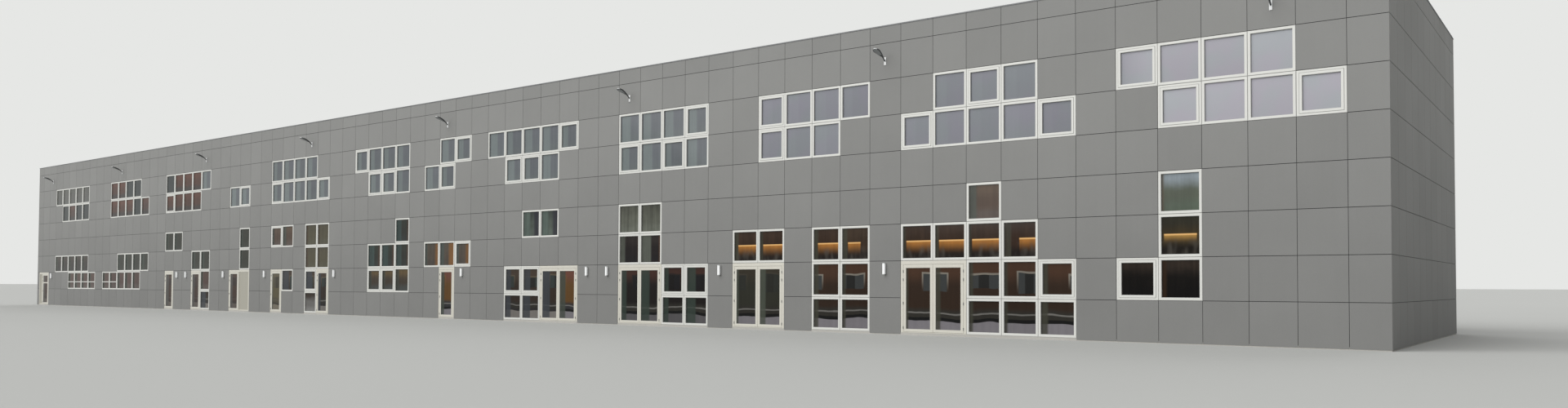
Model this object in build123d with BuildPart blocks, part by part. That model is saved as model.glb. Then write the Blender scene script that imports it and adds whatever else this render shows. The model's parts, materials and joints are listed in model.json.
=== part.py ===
from build123d import *
from dataclasses import dataclass
import os

# Two-storey school building clad in square panels, as a model at one tenth of its real size.
# Millimetres, +Z up. The front looks along -Y. The origin is the middle of the underside.

# Grid of the cladding
MODULE = 125.0  # a square panel, from joint to joint
FULL_COLUMNS = 73  # whole columns along the front and the back
END_COLUMN = 100.0  # narrow column at each end of the front and the back
DEPTH_COLUMNS = 11  # whole columns on each end wall
FULL_ROWS = 8  # whole rows, from the ground up
TOP_ROW = 62.5  # half-height row below the roof edge
FLOOR_ROW = 4  # row without windows that hides the first floor
ROOF_ROW = 7  # row without windows that hides the roof slab
ROW_JOINT = 1.5  # open joint between two rows of panels
SIDE_JOINT = 0.5  # from a panel to the grid line at the side of a window or door unit
PANEL = 1.0  # thickness of a panel
PANEL_CLEAR = 3.0  # bottom edge of the panels above the ground

# Walls, floors and roof
WALL = 33.0  # wall behind the panels
GROUND_SLAB = 8.0  # ground floor, above the ground
FLOOR_SLAB = 30.0
FLOOR_LINTEL = 20.0  # wall between the ground-storey windows and the floor above
ROOF_LINTEL = 75.0  # wall between the upper windows and the roof slab
ROOF_SLAB = 30.0
ROOF_COVERING = 20.0
COPING = 4.0  # height of the metal coping on the roof edge
COPING_OVERHANG = 1.5
COPING_JOINT = 0.6  # open joint between two lengths of coping

# Windows
FRAME_GAP = 0.5  # around each window or door unit
FRAME_SETBACK = 0.5  # frames behind the face of the panels
FRAME_FACE = 8.5  # visible width of a fixed frame, to the grid line
SASH_FACE = 15.0  # visible width of an opening window's frame and sash
FRAME_DEPTH = 5.0
GLASS = 2.4

# Doors
DOOR_ROWS = 2  # rows of panels that a door unit takes up
JAMB_FACE = 10.0
HEAD_FACE = 12.0
THRESHOLD = 2.5
DOOR_FRAME_DEPTH = 9.0
DOOR_GAP = 0.5  # around each leaf
LEAF = 6.0  # thickness of a leaf
LEAF_STILE = 10.5
LEAF_TOP_RAIL = 11.5
LEAF_BOTTOM_RAIL = 9.5
TRANSOM_HEIGHT = 160.0  # middle of the bar across a leaf in two panes, above the leaf's foot
TRANSOM_FACE = 8.0
SIDE_PANEL = 3.0  # thickness of a closed panel beside a door

# Wall lights beside the doors
LIGHT_DIAMETER = 11.5
LIGHT_HEIGHT = 39.0
LIGHT_STANDOFF = 2.0  # from the panels to the cylinder
LIGHT_BOX = 6.0  # width of the back box
LIGHT_MIDDLE = 223.5  # middle of the light above the ground

# Floodlights near the roof edge
FLOOD_ROW = 7.5  # height of the wall plate, in rows of panels
FLOOD_COLUMN = 2.5  # first floodlight, in columns from the right-hand end
FLOOD_STEP = 10  # columns from one floodlight to the next
FLOOD_COUNT = 8
FLOOD_PLATE_WIDTH = 8.5
FLOOD_PLATE_HEIGHT = 27.0
FLOOD_PLATE_THICKNESS = 2.0
FLOOD_ARM = 4.5  # side of the square arm
FLOOD_ARM_REACH = 20.0
FLOOD_ARM_RISE = 42.0  # degrees that the arm rises away from the wall
FLOOD_HEAD_LENGTH = 57.0
FLOOD_HEAD_WIDTH = 26.0
FLOOD_HEAD_RISE = 21.0  # degrees that the head rises away from the wall
FLOOD_SHOULDER = 0.68  # place of the head's full width, as a share of its length
FLOOD_BACK = 6.0  # arch of the head's back above its axis
FLOOD_BACK_PLACE = 0.45  # place of that arch, as a share of the length
FLOOD_RIM = 3.5  # depth of the rim below the axis

# Glazed columns of the front, row by row, as first and last column counted from the right.
# Column 1 is the first whole one and row 0 stands on the ground.
FRONT_WINDOWS = {
    0: [(7, 9), (13, 14), (19, 20), (27, 28), (42, 42), (52, 52)],
    1: [(4, 5), (7, 9), (13, 14), (19, 20), (27, 28), (35, 37), (42, 42), (44, 44), (52, 52),
        (60, 64), (66, 69)],
    2: [(4, 4), (8, 11), (13, 14), (16, 17), (21, 22), (31, 33), (35, 37), (41, 42), (48, 48),
        (52, 53), (59, 62), (67, 71)],
    3: [(4, 4), (9, 9), (21, 22), (26, 27), (35, 35), (41, 42), (44, 45), (48, 48), (55, 56)],
    5: [(1, 4), (7, 11), (14, 16), (19, 22), (26, 28), (32, 33), (35, 37), (41, 45), (48, 49),
        (53, 56), (59, 63), (67, 70)],
    6: [(2, 5), (8, 10), (13, 16), (19, 22), (25, 29), (31, 32), (35, 38), (42, 45), (52, 56),
        (60, 63), (67, 71)],
}

# Windows of the front that open, as row and column
FRONT_SASHES = {
    (1, 5), (1, 7), (1, 19), (1, 20), (1, 27), (1, 28), (1, 36), (1, 37), (1, 42), (2, 31), (3, 45),
    (5, 1), (5, 4), (5, 7), (5, 11), (5, 16), (5, 20), (5, 22), (5, 27), (5, 28), (5, 32), (5, 36),
    (5, 37), (5, 41), (5, 45), (5, 48), (5, 56),
    (6, 5), (6, 9), (6, 16), (6, 19), (6, 25), (6, 31), (6, 38),
}

# The back repeats the storeys with even groups of windows.
BACK_GROUP = 4  # columns in a group
BACK_STEP = 9  # columns from one group to the next
BACK_FIRST = 4  # first column of the first group


@dataclass(frozen=True)
class Doorway:
    """A door unit of the front, between two grid lines counted from the right."""

    letter: str
    right_joint: float
    left_joint: float
    hinges: tuple = ("left",)  # hinge side of each leaf, from the left
    panel_right: float = 0.0  # columns of closed panel at the right of the leaves
    panel_left: float = 0.0  # and at their left
    transom: bool = False


DOUBLE = ("left", "right")
DOORWAYS = [
    Doorway("a", 10, 12, DOUBLE),
    Doorway("b", 16, 18, DOUBLE),
    Doorway("c", 21, 23, DOUBLE),
    Doorway("d", 25, 27, DOUBLE),
    Doorway("e", 32, 33),
    Doorway("f", 41, 42),
    Doorway("g", 45, 46),
    Doorway("h", 48, 50, panel_right=1),
    Doorway("i", 53, 54),
    Doorway("j", 56, 57),
    Doorway("k", 73, 74.5, panel_left=0.5, transom=True),
]
WALL_LIGHTS = (12.5, 18.5, 23.5, 24.5, 31.5, 40.5, 46.5, 50.5, 54.5, 55.5, 72.5)

# What follows from the sizes above
LENGTH = FULL_COLUMNS * MODULE + 2 * END_COLUMN
DEPTH = DEPTH_COLUMNS * MODULE
HEIGHT = FULL_ROWS * MODULE + TOP_ROW
DOOR_TOP = DOOR_ROWS * MODULE
FLOOR_UNDER = FLOOR_ROW * MODULE + FLOOR_LINTEL
FLOOR_TOP = FLOOR_UNDER + FLOOR_SLAB
ROOF_UNDER = ROOF_ROW * MODULE + ROOF_LINTEL
ROOF_TOP = ROOF_UNDER + ROOF_SLAB
PARAPET_TOP = HEIGHT - COPING
CORE_LENGTH = LENGTH - 2 * PANEL
CORE_DEPTH = DEPTH - 2 * PANEL
ROOM_LENGTH = CORE_LENGTH - 2 * WALL
ROOM_DEPTH = CORE_DEPTH - 2 * WALL
STOREYS = [(GROUND_SLAB, FLOOR_UNDER), (FLOOR_TOP, ROOF_UNDER), (ROOF_TOP, PARAPET_TOP)]

# Bands of rows that hold the windows: beside the doors, over the doors and upstairs
DOOR_BAND = range(DOOR_ROWS)
OVER_DOOR_BAND = range(DOOR_ROWS, FLOOR_ROW)
UPPER_BAND = range(FLOOR_ROW + 1, ROOF_ROW)
BACK_BANDS = [OVER_DOOR_BAND, UPPER_BAND]
BACK_WINDOWS = {
    row: [(first, first + BACK_GROUP - 1)
          for first in range(BACK_FIRST, FULL_COLUMNS - BACK_GROUP + 2, BACK_STEP)]
    for row in (*OVER_DOOR_BAND, *UPPER_BAND)
}

# The four faces of the cladding: x to the right and y up, as seen from outside
FRONT = Plane(origin=(0, -DEPTH / 2, 0), x_dir=(1, 0, 0), z_dir=(0, -1, 0))
BACK = Plane(origin=(0, DEPTH / 2, 0), x_dir=(-1, 0, 0), z_dir=(0, 1, 0))
RIGHT = Plane(origin=(LENGTH / 2, 0, 0), x_dir=(0, 1, 0), z_dir=(1, 0, 0))
LEFT = Plane(origin=(-LENGTH / 2, 0, 0), x_dir=(0, -1, 0), z_dir=(-1, 0, 0))

os.makedirs("parts", exist_ok=True)


def save(part, name):
    """Label a finished piece and write its file."""
    part.label = name
    export_step(part, f"parts/{name}.step")


def joint_x(joint):
    """Place of a grid line along the front or back, counted from the right-hand end."""
    return LENGTH / 2 - END_COLUMN - (joint - 1) * MODULE


def row_foot(row):
    """Lower edge of a row of window units; the lowest stand on the ground floor."""
    return max(row * MODULE, GROUND_SLAB)


def area(left, right, bottom, top, mode=Mode.ADD):
    """Rectangle between four edges, in the sketch being drawn."""
    with Locations(((left + right) / 2, (bottom + top) / 2)):
        Rectangle(right - left, top - bottom, mode=mode)


def window_areas(windows, rows, grow=0.0, mode=Mode.ADD):
    """Areas of the glazed columns in some rows, each grown on all sides."""
    for row in rows:
        for first, last in windows.get(row, []):
            area(joint_x(last + 1) - grow, joint_x(first) + grow,
                 row_foot(row) - grow, (row + 1) * MODULE + grow, mode)


def door_areas(grow=0.0, foot=GROUND_SLAB, mode=Mode.ADD):
    """Areas of the door units, each grown at its sides and top."""
    for door in DOORWAYS:
        area(joint_x(door.left_joint) - grow, joint_x(door.right_joint) + grow,
             foot, DOOR_TOP + grow, mode)


def slab(name, length, depth, bottom, thickness):
    """Flat slab centred on the plan."""
    with BuildPart() as piece:
        with BuildSketch(Plane.XY.offset(bottom)):
            Rectangle(length, depth)
        extrude(amount=thickness)
    save(piece.part, name)


# Floors and roof
slab("ground_floor_slab", CORE_LENGTH, CORE_DEPTH, 0, GROUND_SLAB)
slab("first_floor_slab", CORE_LENGTH, CORE_DEPTH, FLOOR_UNDER, FLOOR_SLAB)
slab("roof_slab", CORE_LENGTH, CORE_DEPTH, ROOF_UNDER, ROOF_SLAB)
slab("roof_covering", ROOM_LENGTH, ROOM_DEPTH, ROOF_TOP, ROOF_COVERING)


# Front wall: piers beside the doors, a band over them, and the upper storey with its parapet
with BuildPart() as front_wall_piers:
    with BuildSketch(FRONT.offset(-PANEL)):
        area(-CORE_LENGTH / 2, CORE_LENGTH / 2, GROUND_SLAB, DOOR_TOP)
        window_areas(FRONT_WINDOWS, DOOR_BAND, mode=Mode.SUBTRACT)
        door_areas(mode=Mode.SUBTRACT)
    extrude(amount=-WALL)
save(front_wall_piers.part, "front_wall_piers")

with BuildPart() as front_wall_over_doors:
    with BuildSketch(FRONT.offset(-PANEL)):
        area(-CORE_LENGTH / 2, CORE_LENGTH / 2, DOOR_TOP, FLOOR_UNDER)
        window_areas(FRONT_WINDOWS, OVER_DOOR_BAND, mode=Mode.SUBTRACT)
    extrude(amount=-WALL)
save(front_wall_over_doors.part, "front_wall_over_doors")

with BuildPart() as front_wall_upper:
    with BuildSketch(FRONT.offset(-PANEL)):
        area(-CORE_LENGTH / 2, CORE_LENGTH / 2, FLOOR_TOP, ROOF_UNDER)
        area(-CORE_LENGTH / 2, CORE_LENGTH / 2, ROOF_TOP, PARAPET_TOP)
        window_areas(FRONT_WINDOWS, UPPER_BAND, mode=Mode.SUBTRACT)
    extrude(amount=-WALL)
save(front_wall_upper.part, "front_wall_upper")


# Back wall: one piece for each storey, and the parapet
with BuildPart() as back_wall:
    with BuildSketch(BACK.offset(-PANEL)):
        for bottom, top in STOREYS:
            area(-CORE_LENGTH / 2, CORE_LENGTH / 2, bottom, top)
        for band in BACK_BANDS:
            window_areas(BACK_WINDOWS, band, mode=Mode.SUBTRACT)
    extrude(amount=-WALL)
save(back_wall.part, "back_wall")


def end_wall(facade, name):
    """Closed wall at one end, between the long walls: one piece for each storey, and the parapet."""
    with BuildPart() as wall:
        with BuildSketch(facade.offset(-PANEL)):
            for bottom, top in STOREYS:
                area(-ROOM_DEPTH / 2, ROOM_DEPTH / 2, bottom, top)
        extrude(amount=-WALL)
    save(wall.part, name)


end_wall(RIGHT, "right_wall")
end_wall(LEFT, "left_wall")


# Metal coping: it covers the parapet and the panels and hangs over both faces.
COPING_EDGE = PANEL + COPING_OVERHANG
COPING_WIDTH = WALL + COPING_EDGE + COPING_OVERHANG
COPING_LENGTH = CORE_LENGTH + 2 * COPING_EDGE
COPING_DEPTH = CORE_DEPTH + 2 * COPING_EDGE
with BuildPart() as coping:
    with BuildSketch(Plane.XY.offset(PARAPET_TOP)):
        with GridLocations(0, COPING_DEPTH - COPING_WIDTH, 1, 2):
            Rectangle(COPING_LENGTH, COPING_WIDTH)
        with GridLocations(COPING_LENGTH - COPING_WIDTH, 0, 2, 1):
            Rectangle(COPING_WIDTH, COPING_DEPTH - 2 * COPING_WIDTH - 2 * COPING_JOINT)
    extrude(amount=COPING)
save(coping.part, "coping")


def panel_rows(length):
    """Rows of panels over the whole length of a face, with open joints between them."""
    area(-length / 2, length / 2, PANEL_CLEAR, MODULE - ROW_JOINT / 2)
    for row in range(1, FULL_ROWS):
        area(-length / 2, length / 2, row * MODULE + ROW_JOINT / 2, (row + 1) * MODULE - ROW_JOINT / 2)
    area(-length / 2, length / 2, FULL_ROWS * MODULE + ROW_JOINT / 2, PARAPET_TOP)


with BuildPart() as front_cladding:
    with BuildSketch(FRONT):
        panel_rows(LENGTH)
        window_areas(FRONT_WINDOWS, range(FULL_ROWS), grow=SIDE_JOINT, mode=Mode.SUBTRACT)
        door_areas(grow=SIDE_JOINT, foot=0, mode=Mode.SUBTRACT)
    extrude(amount=-PANEL)
save(front_cladding.part, "front_cladding")

with BuildPart() as back_cladding:
    with BuildSketch(BACK):
        panel_rows(LENGTH)
        window_areas(BACK_WINDOWS, range(FULL_ROWS), grow=SIDE_JOINT, mode=Mode.SUBTRACT)
    extrude(amount=-PANEL)
save(back_cladding.part, "back_cladding")

with BuildPart() as end_cladding:
    for facade in (RIGHT, LEFT):
        with BuildSketch(facade):
            panel_rows(CORE_DEPTH)
        extrude(amount=-PANEL)
save(end_cladding.part, "end_cladding")


def window_frames(facade, name, windows, bands, sashes):
    """Frames of the windows in bands of rows: a bar on each grid line, wider where a window opens."""
    with BuildPart() as frames:
        for band in bands:
            with BuildSketch(facade.offset(-FRAME_SETBACK)):
                window_areas(windows, band)
                offset(amount=-FRAME_GAP, kind=Kind.INTERSECTION)
                for row in band:
                    for first, last in windows.get(row, []):
                        for column in range(first, last + 1):
                            face = SASH_FACE if (row, column) in sashes else FRAME_FACE
                            area(joint_x(column + 1) + face, joint_x(column) - face,
                                 row_foot(row) + face, (row + 1) * MODULE - face, Mode.SUBTRACT)
            extrude(amount=-FRAME_DEPTH)
    save(frames.part, name)


def window_glass(facade, name, windows, bands):
    """Sheet of glass behind the frames of each group of windows."""
    with BuildPart() as glass:
        for band in bands:
            with BuildSketch(facade.offset(-FRAME_SETBACK - FRAME_DEPTH)):
                window_areas(windows, band)
                offset(amount=-FRAME_GAP, kind=Kind.INTERSECTION)
            extrude(amount=-GLASS)
    save(glass.part, name)


window_frames(FRONT, "front_ground_windows", FRONT_WINDOWS, [DOOR_BAND, OVER_DOOR_BAND], FRONT_SASHES)
window_frames(FRONT, "front_upper_windows", FRONT_WINDOWS, [UPPER_BAND], FRONT_SASHES)
window_frames(BACK, "back_windows", BACK_WINDOWS, BACK_BANDS, set())
window_glass(FRONT, "front_glass", FRONT_WINDOWS, [DOOR_BAND, OVER_DOOR_BAND, UPPER_BAND])
window_glass(BACK, "back_glass", BACK_WINDOWS, BACK_BANDS)


# Door units of the front: posts, heads, thresholds, closed panels and leaves
LEAF_FOOT = GROUND_SLAB + THRESHOLD + DOOR_GAP
HEAD_UNDER = DOOR_TOP - FRAME_GAP - HEAD_FACE
LEAF_HEAD = HEAD_UNDER - DOOR_GAP


def door_bay(door):
    """Left and right edges of the part of a door unit that holds the leaves, posts included."""
    left = joint_x(door.left_joint - door.panel_left) + FRAME_GAP
    right = joint_x(door.right_joint + door.panel_right) - FRAME_GAP
    return left, right


def unit_edges(door):
    """Left and right edges of a whole door unit."""
    return joint_x(door.left_joint) + FRAME_GAP, joint_x(door.right_joint) - FRAME_GAP


with BuildPart() as door_posts:
    with BuildSketch(FRONT.offset(-FRAME_SETBACK)):
        for door in DOORWAYS:
            post_edges = {*door_bay(door), *unit_edges(door)}
            middle = sum(door_bay(door)) / 2
            for edge in post_edges:
                inward = JAMB_FACE if edge < middle else -JAMB_FACE
                area(min(edge, edge + inward), max(edge, edge + inward),
                     GROUND_SLAB + THRESHOLD, HEAD_UNDER)
    extrude(amount=-DOOR_FRAME_DEPTH)
save(door_posts.part, "door_posts")

with BuildPart() as door_heads_and_thresholds:
    with BuildSketch(FRONT.offset(-FRAME_SETBACK)):
        for door in DOORWAYS:
            left, right = unit_edges(door)
            area(left, right, HEAD_UNDER, DOOR_TOP - FRAME_GAP)
            area(left, right, GROUND_SLAB, GROUND_SLAB + THRESHOLD)
    extrude(amount=-DOOR_FRAME_DEPTH)
save(door_heads_and_thresholds.part, "door_heads_and_thresholds")

with BuildPart() as door_side_panels:
    with BuildSketch(FRONT.offset(-FRAME_SETBACK - SIDE_PANEL)):
        for door in DOORWAYS:
            bay_left, bay_right = door_bay(door)
            left, right = unit_edges(door)
            if door.panel_right:
                area(bay_right, right - JAMB_FACE, GROUND_SLAB + THRESHOLD, HEAD_UNDER)
            if door.panel_left:
                area(left + JAMB_FACE, bay_left, GROUND_SLAB + THRESHOLD, HEAD_UNDER)
    extrude(amount=-SIDE_PANEL)
save(door_side_panels.part, "door_side_panels")


def door_leaf(name, left, right, transom):
    """Hinged leaf, a frame with one pane or two, and its glass."""
    edges = left + LEAF_STILE, right - LEAF_STILE
    foot, top = LEAF_FOOT + LEAF_BOTTOM_RAIL, LEAF_HEAD - LEAF_TOP_RAIL
    if transom:
        bar = LEAF_FOOT + TRANSOM_HEIGHT
        panes = [(foot, bar - TRANSOM_FACE / 2), (bar + TRANSOM_FACE / 2, top)]
    else:
        panes = [(foot, top)]
    with BuildPart() as leaf:
        with BuildSketch(FRONT.offset(-FRAME_SETBACK)):
            area(left, right, LEAF_FOOT, LEAF_HEAD)
            for low, high in panes:
                area(*edges, low, high, Mode.SUBTRACT)
        extrude(amount=-LEAF)
    save(leaf.part, f"{name}_leaf")
    with BuildPart() as glass:
        with BuildSketch(FRONT.offset(-FRAME_SETBACK - (LEAF - GLASS) / 2)):
            for low, high in panes:
                area(*edges, low, high)
        extrude(amount=-GLASS)
    save(glass.part, f"{name}_glass")


for door in DOORWAYS:
    left, right = door_bay(door)
    left, right = left + JAMB_FACE + DOOR_GAP, right - JAMB_FACE - DOOR_GAP
    if door.hinges == DOUBLE:
        middle = (left + right) / 2
        door_leaf(f"door_{door.letter}_left", left, middle - DOOR_GAP / 2, door.transom)
        door_leaf(f"door_{door.letter}_right", middle + DOOR_GAP / 2, right, door.transom)
    else:
        door_leaf(f"door_{door.letter}", left, right, door.transom)


# Wall lights: upright cylinders, held off the panels by a narrow back box
with BuildPart() as wall_lights:
    with BuildSketch(Plane.XY.offset(LIGHT_MIDDLE - LIGHT_HEIGHT / 2)):
        for column in WALL_LIGHTS:
            with Locations((joint_x(column), -DEPTH / 2 - LIGHT_STANDOFF - LIGHT_DIAMETER / 2)):
                Circle(LIGHT_DIAMETER / 2)
            area(joint_x(column) - LIGHT_BOX / 2, joint_x(column) + LIGHT_BOX / 2,
                 -DEPTH / 2 - LIGHT_STANDOFF - LIGHT_DIAMETER / 2, -DEPTH / 2)
    extrude(amount=LIGHT_HEIGHT)
save(wall_lights.part, "wall_lights")


# Floodlights: an upright plate on the wall, an arm that rises away from it and a drop-shaped head
def away(rise):
    """Direction out from the front wall, raised by this many degrees."""
    return Vector(0, -1, 0).rotate(Axis.X, -rise)


outward = away(FLOOD_HEAD_RISE)
head_start = away(FLOOD_ARM_RISE) * FLOOD_ARM_REACH
shoulder = FLOOD_SHOULDER * FLOOD_HEAD_LENGTH
with BuildPart() as flood_head:
    with BuildSketch(Plane(origin=head_start, x_dir=outward, z_dir=(-1, 0, 0))):
        with BuildLine():
            Polyline((FLOOD_HEAD_LENGTH, 0), (FLOOD_HEAD_LENGTH, -FLOOD_RIM),
                     (0, -FLOOD_ARM / 2), (0, FLOOD_ARM / 2))
            ThreePointArc((0, FLOOD_ARM / 2), (FLOOD_BACK_PLACE * FLOOD_HEAD_LENGTH, FLOOD_BACK),
                          (FLOOD_HEAD_LENGTH, 0))
        make_face()
    extrude(amount=FLOOD_HEAD_WIDTH / 2, both=True)
    with BuildSketch(Plane(origin=head_start, x_dir=outward, z_dir=outward.cross(Vector(1, 0, 0)))):
        with BuildLine():
            Line((0, 0), (0, FLOOD_ARM / 2))
            Line((0, FLOOD_ARM / 2), (shoulder, FLOOD_HEAD_WIDTH / 2))
            TangentArc((shoulder, FLOOD_HEAD_WIDTH / 2), (FLOOD_HEAD_LENGTH, 0), tangent=(1, 0))
            mirror(about=Plane.XZ)
        make_face()
    extrude(amount=FLOOD_BACK, both=True, mode=Mode.INTERSECT)

with BuildPart() as floodlight:
    with BuildSketch(Plane.XZ):
        Rectangle(FLOOD_PLATE_WIDTH, FLOOD_PLATE_HEIGHT)
    extrude(amount=FLOOD_PLATE_THICKNESS)
    with BuildSketch(Plane(origin=(0, -FLOOD_PLATE_THICKNESS, 0), x_dir=(1, 0, 0),
                           z_dir=away(FLOOD_ARM_RISE))):
        Rectangle(FLOOD_ARM, FLOOD_ARM)
    extrude(amount=FLOOD_ARM_REACH)
    add(flood_head.part)

with BuildPart() as floodlights:
    with Locations(*[(joint_x(FLOOD_COLUMN + step * FLOOD_STEP), -DEPTH / 2, FLOOD_ROW * MODULE)
                     for step in range(FLOOD_COUNT)]):
        add(floodlight.part)
save(floodlights.part, "floodlights")
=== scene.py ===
"""School building at one tenth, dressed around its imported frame.

Sizes are metres in the frame's own axes: +Z up, the front looks along -Y, and the origin is the
middle of the underside. Columns of the grid are counted from the right-hand end of the front, and
rows from the ground. Colours are screen values, which turn linear where they enter a shader.
"""

import json
import logging
import math
from dataclasses import dataclass, field
from enum import Enum, auto
from typing import Iterable, Iterator, Optional, Sequence, Union

import bmesh
import bpy
from mathutils import Matrix, Vector

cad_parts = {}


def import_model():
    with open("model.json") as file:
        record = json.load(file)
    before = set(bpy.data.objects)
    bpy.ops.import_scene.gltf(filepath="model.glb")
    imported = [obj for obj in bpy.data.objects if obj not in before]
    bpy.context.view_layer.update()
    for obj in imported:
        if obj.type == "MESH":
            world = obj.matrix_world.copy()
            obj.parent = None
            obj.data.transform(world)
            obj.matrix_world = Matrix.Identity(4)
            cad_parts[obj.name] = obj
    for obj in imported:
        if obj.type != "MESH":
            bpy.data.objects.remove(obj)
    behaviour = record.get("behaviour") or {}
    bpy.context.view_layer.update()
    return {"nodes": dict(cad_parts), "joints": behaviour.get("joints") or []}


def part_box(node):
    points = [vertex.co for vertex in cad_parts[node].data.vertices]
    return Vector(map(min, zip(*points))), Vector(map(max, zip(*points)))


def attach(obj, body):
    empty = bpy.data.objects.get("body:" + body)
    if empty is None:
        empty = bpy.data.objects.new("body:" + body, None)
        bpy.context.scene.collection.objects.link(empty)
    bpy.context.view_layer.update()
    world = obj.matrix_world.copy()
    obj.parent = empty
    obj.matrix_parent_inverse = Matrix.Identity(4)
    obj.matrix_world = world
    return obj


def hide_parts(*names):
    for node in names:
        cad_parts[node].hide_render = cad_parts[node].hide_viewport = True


LOG = logging.getLogger("school")
MM = 0.001
SMOOTH_ANGLE = math.radians(30)

Colour = tuple[int, int, int]
Point = tuple[float, float, float]
Range = tuple[float, float]


def linear(colour: Colour) -> tuple[float, float, float, float]:
    """Turn a screen colour into the linear one that shaders take.

    Args:
        colour: Red, green and blue from 0 to 255.

    Returns:
        The linear colour with full opacity.
    """
    low_end, slope, offset, power = 0.04045, 12.92, 0.055, 2.4
    channels = []
    for level in colour:
        share = level / 255
        if share <= low_end:
            channels.append(share / slope)
        else:
            channels.append(((share + offset) / (1 + offset)) ** power)
    return (*channels, 1.0)


@dataclass(frozen=True)
class Grid:
    """Square grid of the cladding, which every other place follows."""

    module: float = 125 * MM
    columns: int = 73
    end_column: float = 100 * MM
    depth_columns: int = 11
    rows: int = 8
    top_row: float = 62.5 * MM
    door_rows: int = 2
    ground_slab: float = 8 * MM

    @property
    def length(self) -> float:
        """Length of the building."""
        return self.columns * self.module + 2 * self.end_column

    @property
    def depth(self) -> float:
        """Depth of the building."""
        return self.depth_columns * self.module

    @property
    def height(self) -> float:
        """Height of the building."""
        return self.rows * self.module + self.top_row

    def joint_x(self, joint: float) -> float:
        """Place of a grid line along the front, counted from the right."""
        return self.length / 2 - self.end_column - (joint - 1) * self.module

    def unit(self, row: int, column: int) -> "Area":
        """Whole cell of one window unit. The lowest ones stand on the ground floor."""
        return Area(self.joint_x(column + 1), self.joint_x(column),
                    max(row * self.module, self.ground_slab), (row + 1) * self.module)


@dataclass(frozen=True)
class Area:
    """Rectangle on a face of the building, seen from outside."""

    left: float
    right: float
    bottom: float
    top: float

    @classmethod
    def around(cls, x: float, y: float, width: float, height: float) -> "Area":
        """Rectangle of a width and height round a middle point."""
        return cls(x - width / 2, x + width / 2, y - height / 2, y + height / 2)

    def inset(self, step: float) -> "Area":
        """The rectangle that lies a step further in on all sides."""
        return Area(self.left + step, self.right - step, self.bottom + step, self.top - step)

    def bar(self, middle: float, height: float) -> "Area":
        """A bar across the rectangle, round a middle height."""
        return Area(self.left, self.right, middle - height / 2, middle + height / 2)

    def level(self, share: float) -> float:
        """Height at a share of the way from the bottom to the top."""
        return self.bottom + (self.top - self.bottom) * share

    def corners(self) -> tuple[Range, ...]:
        """The four corners, counter-clockwise from the lower left."""
        return ((self.left, self.bottom), (self.right, self.bottom),
                (self.right, self.top), (self.left, self.top))


@dataclass(frozen=True)
class Facade:
    """Face of the building, seen from outside: x to the right, y up and z outwards."""

    origin: Point
    right: Point
    out: Point
    up: Point = (0, 0, 1)

    def point(self, x: float, y: float, z: float) -> Vector:
        """Place in the frame of a point on the face, or z outside it."""
        return Vector(self.origin) + Vector(self.right) * x + Vector(self.up) * y + Vector(self.out) * z


GRID = Grid()
FRONT = Facade((0, -GRID.depth / 2, 0), (1, 0, 0), (0, -1, 0))
BACK = Facade((0, GRID.depth / 2, 0), (-1, 0, 0), (0, 1, 0))
RIGHT = Facade((GRID.length / 2, 0, 0), (0, 1, 0), (1, 0, 0))
LEFT = Facade((-GRID.length / 2, 0, 0), (0, -1, 0), (-1, 0, 0))
ABOVE = Facade((0, 0, 0), (1, 0, 0), (0, 0, 1), up=(0, 1, 0))


class Value:
    """A number in a node tree. Arithmetic on it adds Math nodes."""

    def __init__(self, nodes: "Nodes", socket: bpy.types.NodeSocket) -> None:
        """Wrap a socket of a node tree."""
        self.nodes = nodes
        self.socket = socket

    def _math(self, operation: str, *operands: "Number") -> "Value":
        """Add one Math node.

        Args:
            operation: Name of the node's operation.
            operands: Its inputs in order, sockets or plain numbers.

        Returns:
            The node's output.
        """
        return self.nodes.number("ShaderNodeMath", {"operation": operation}, dict(enumerate(operands)))

    def __add__(self, other: "Number") -> "Value":
        """Sum."""
        return self._math("ADD", self, other)

    __radd__ = __add__

    def __sub__(self, other: "Number") -> "Value":
        """Difference."""
        return self._math("SUBTRACT", self, other)

    def __rsub__(self, other: "Number") -> "Value":
        """Difference, from a plain number."""
        return self._math("SUBTRACT", other, self)

    def __mul__(self, other: "Number") -> "Value":
        """Product."""
        return self._math("MULTIPLY", self, other)

    __rmul__ = __mul__

    def __truediv__(self, other: "Number") -> "Value":
        """Quotient."""
        return self._math("DIVIDE", self, other)

    def __abs__(self) -> "Value":
        """The number without its sign."""
        return self._math("ABSOLUTE", self)

    def floor(self) -> "Value":
        """The whole number at or below this one."""
        return self._math("FLOOR", self)

    def fraction(self) -> "Value":
        """What is left above the whole number."""
        return self._math("FRACT", self)

    def most(self, other: "Number") -> "Value":
        """The larger of the two."""
        return self._math("MAXIMUM", self, other)

    def sway(self, reach: float) -> "Value":
        """A share from 0 to 1 as a swing about 0, by half the reach each way."""
        return (self - 0.5) * reach

    def rise(self, low: "Number", high: "Number") -> "Value":
        """Smooth step: 0 up to the low mark and 1 from the high one."""
        return self.nodes.number("ShaderNodeMapRange", {"interpolation_type": "SMOOTHSTEP"},
                                 {0: self, 1: low, 2: high})

    def within(self, low: "Number", high: "Number", soft: float) -> "Value":
        """1 between two marks and 0 beyond their soft edges."""
        return self.rise(low - soft, low) * (1 - self.rise(high, high + soft))


Number = Union[Value, float]
Tint = Union[bpy.types.NodeSocket, Colour]


@dataclass(frozen=True)
class Pattern:
    """Noise over a surface.

    Its scale is in patches to the metre and its detail in octaves of finer noise. A stretch below 1
    draws the patches out upwards.
    """

    scale: float
    detail: float = 2.0
    stretch: float = 1.0


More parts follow.
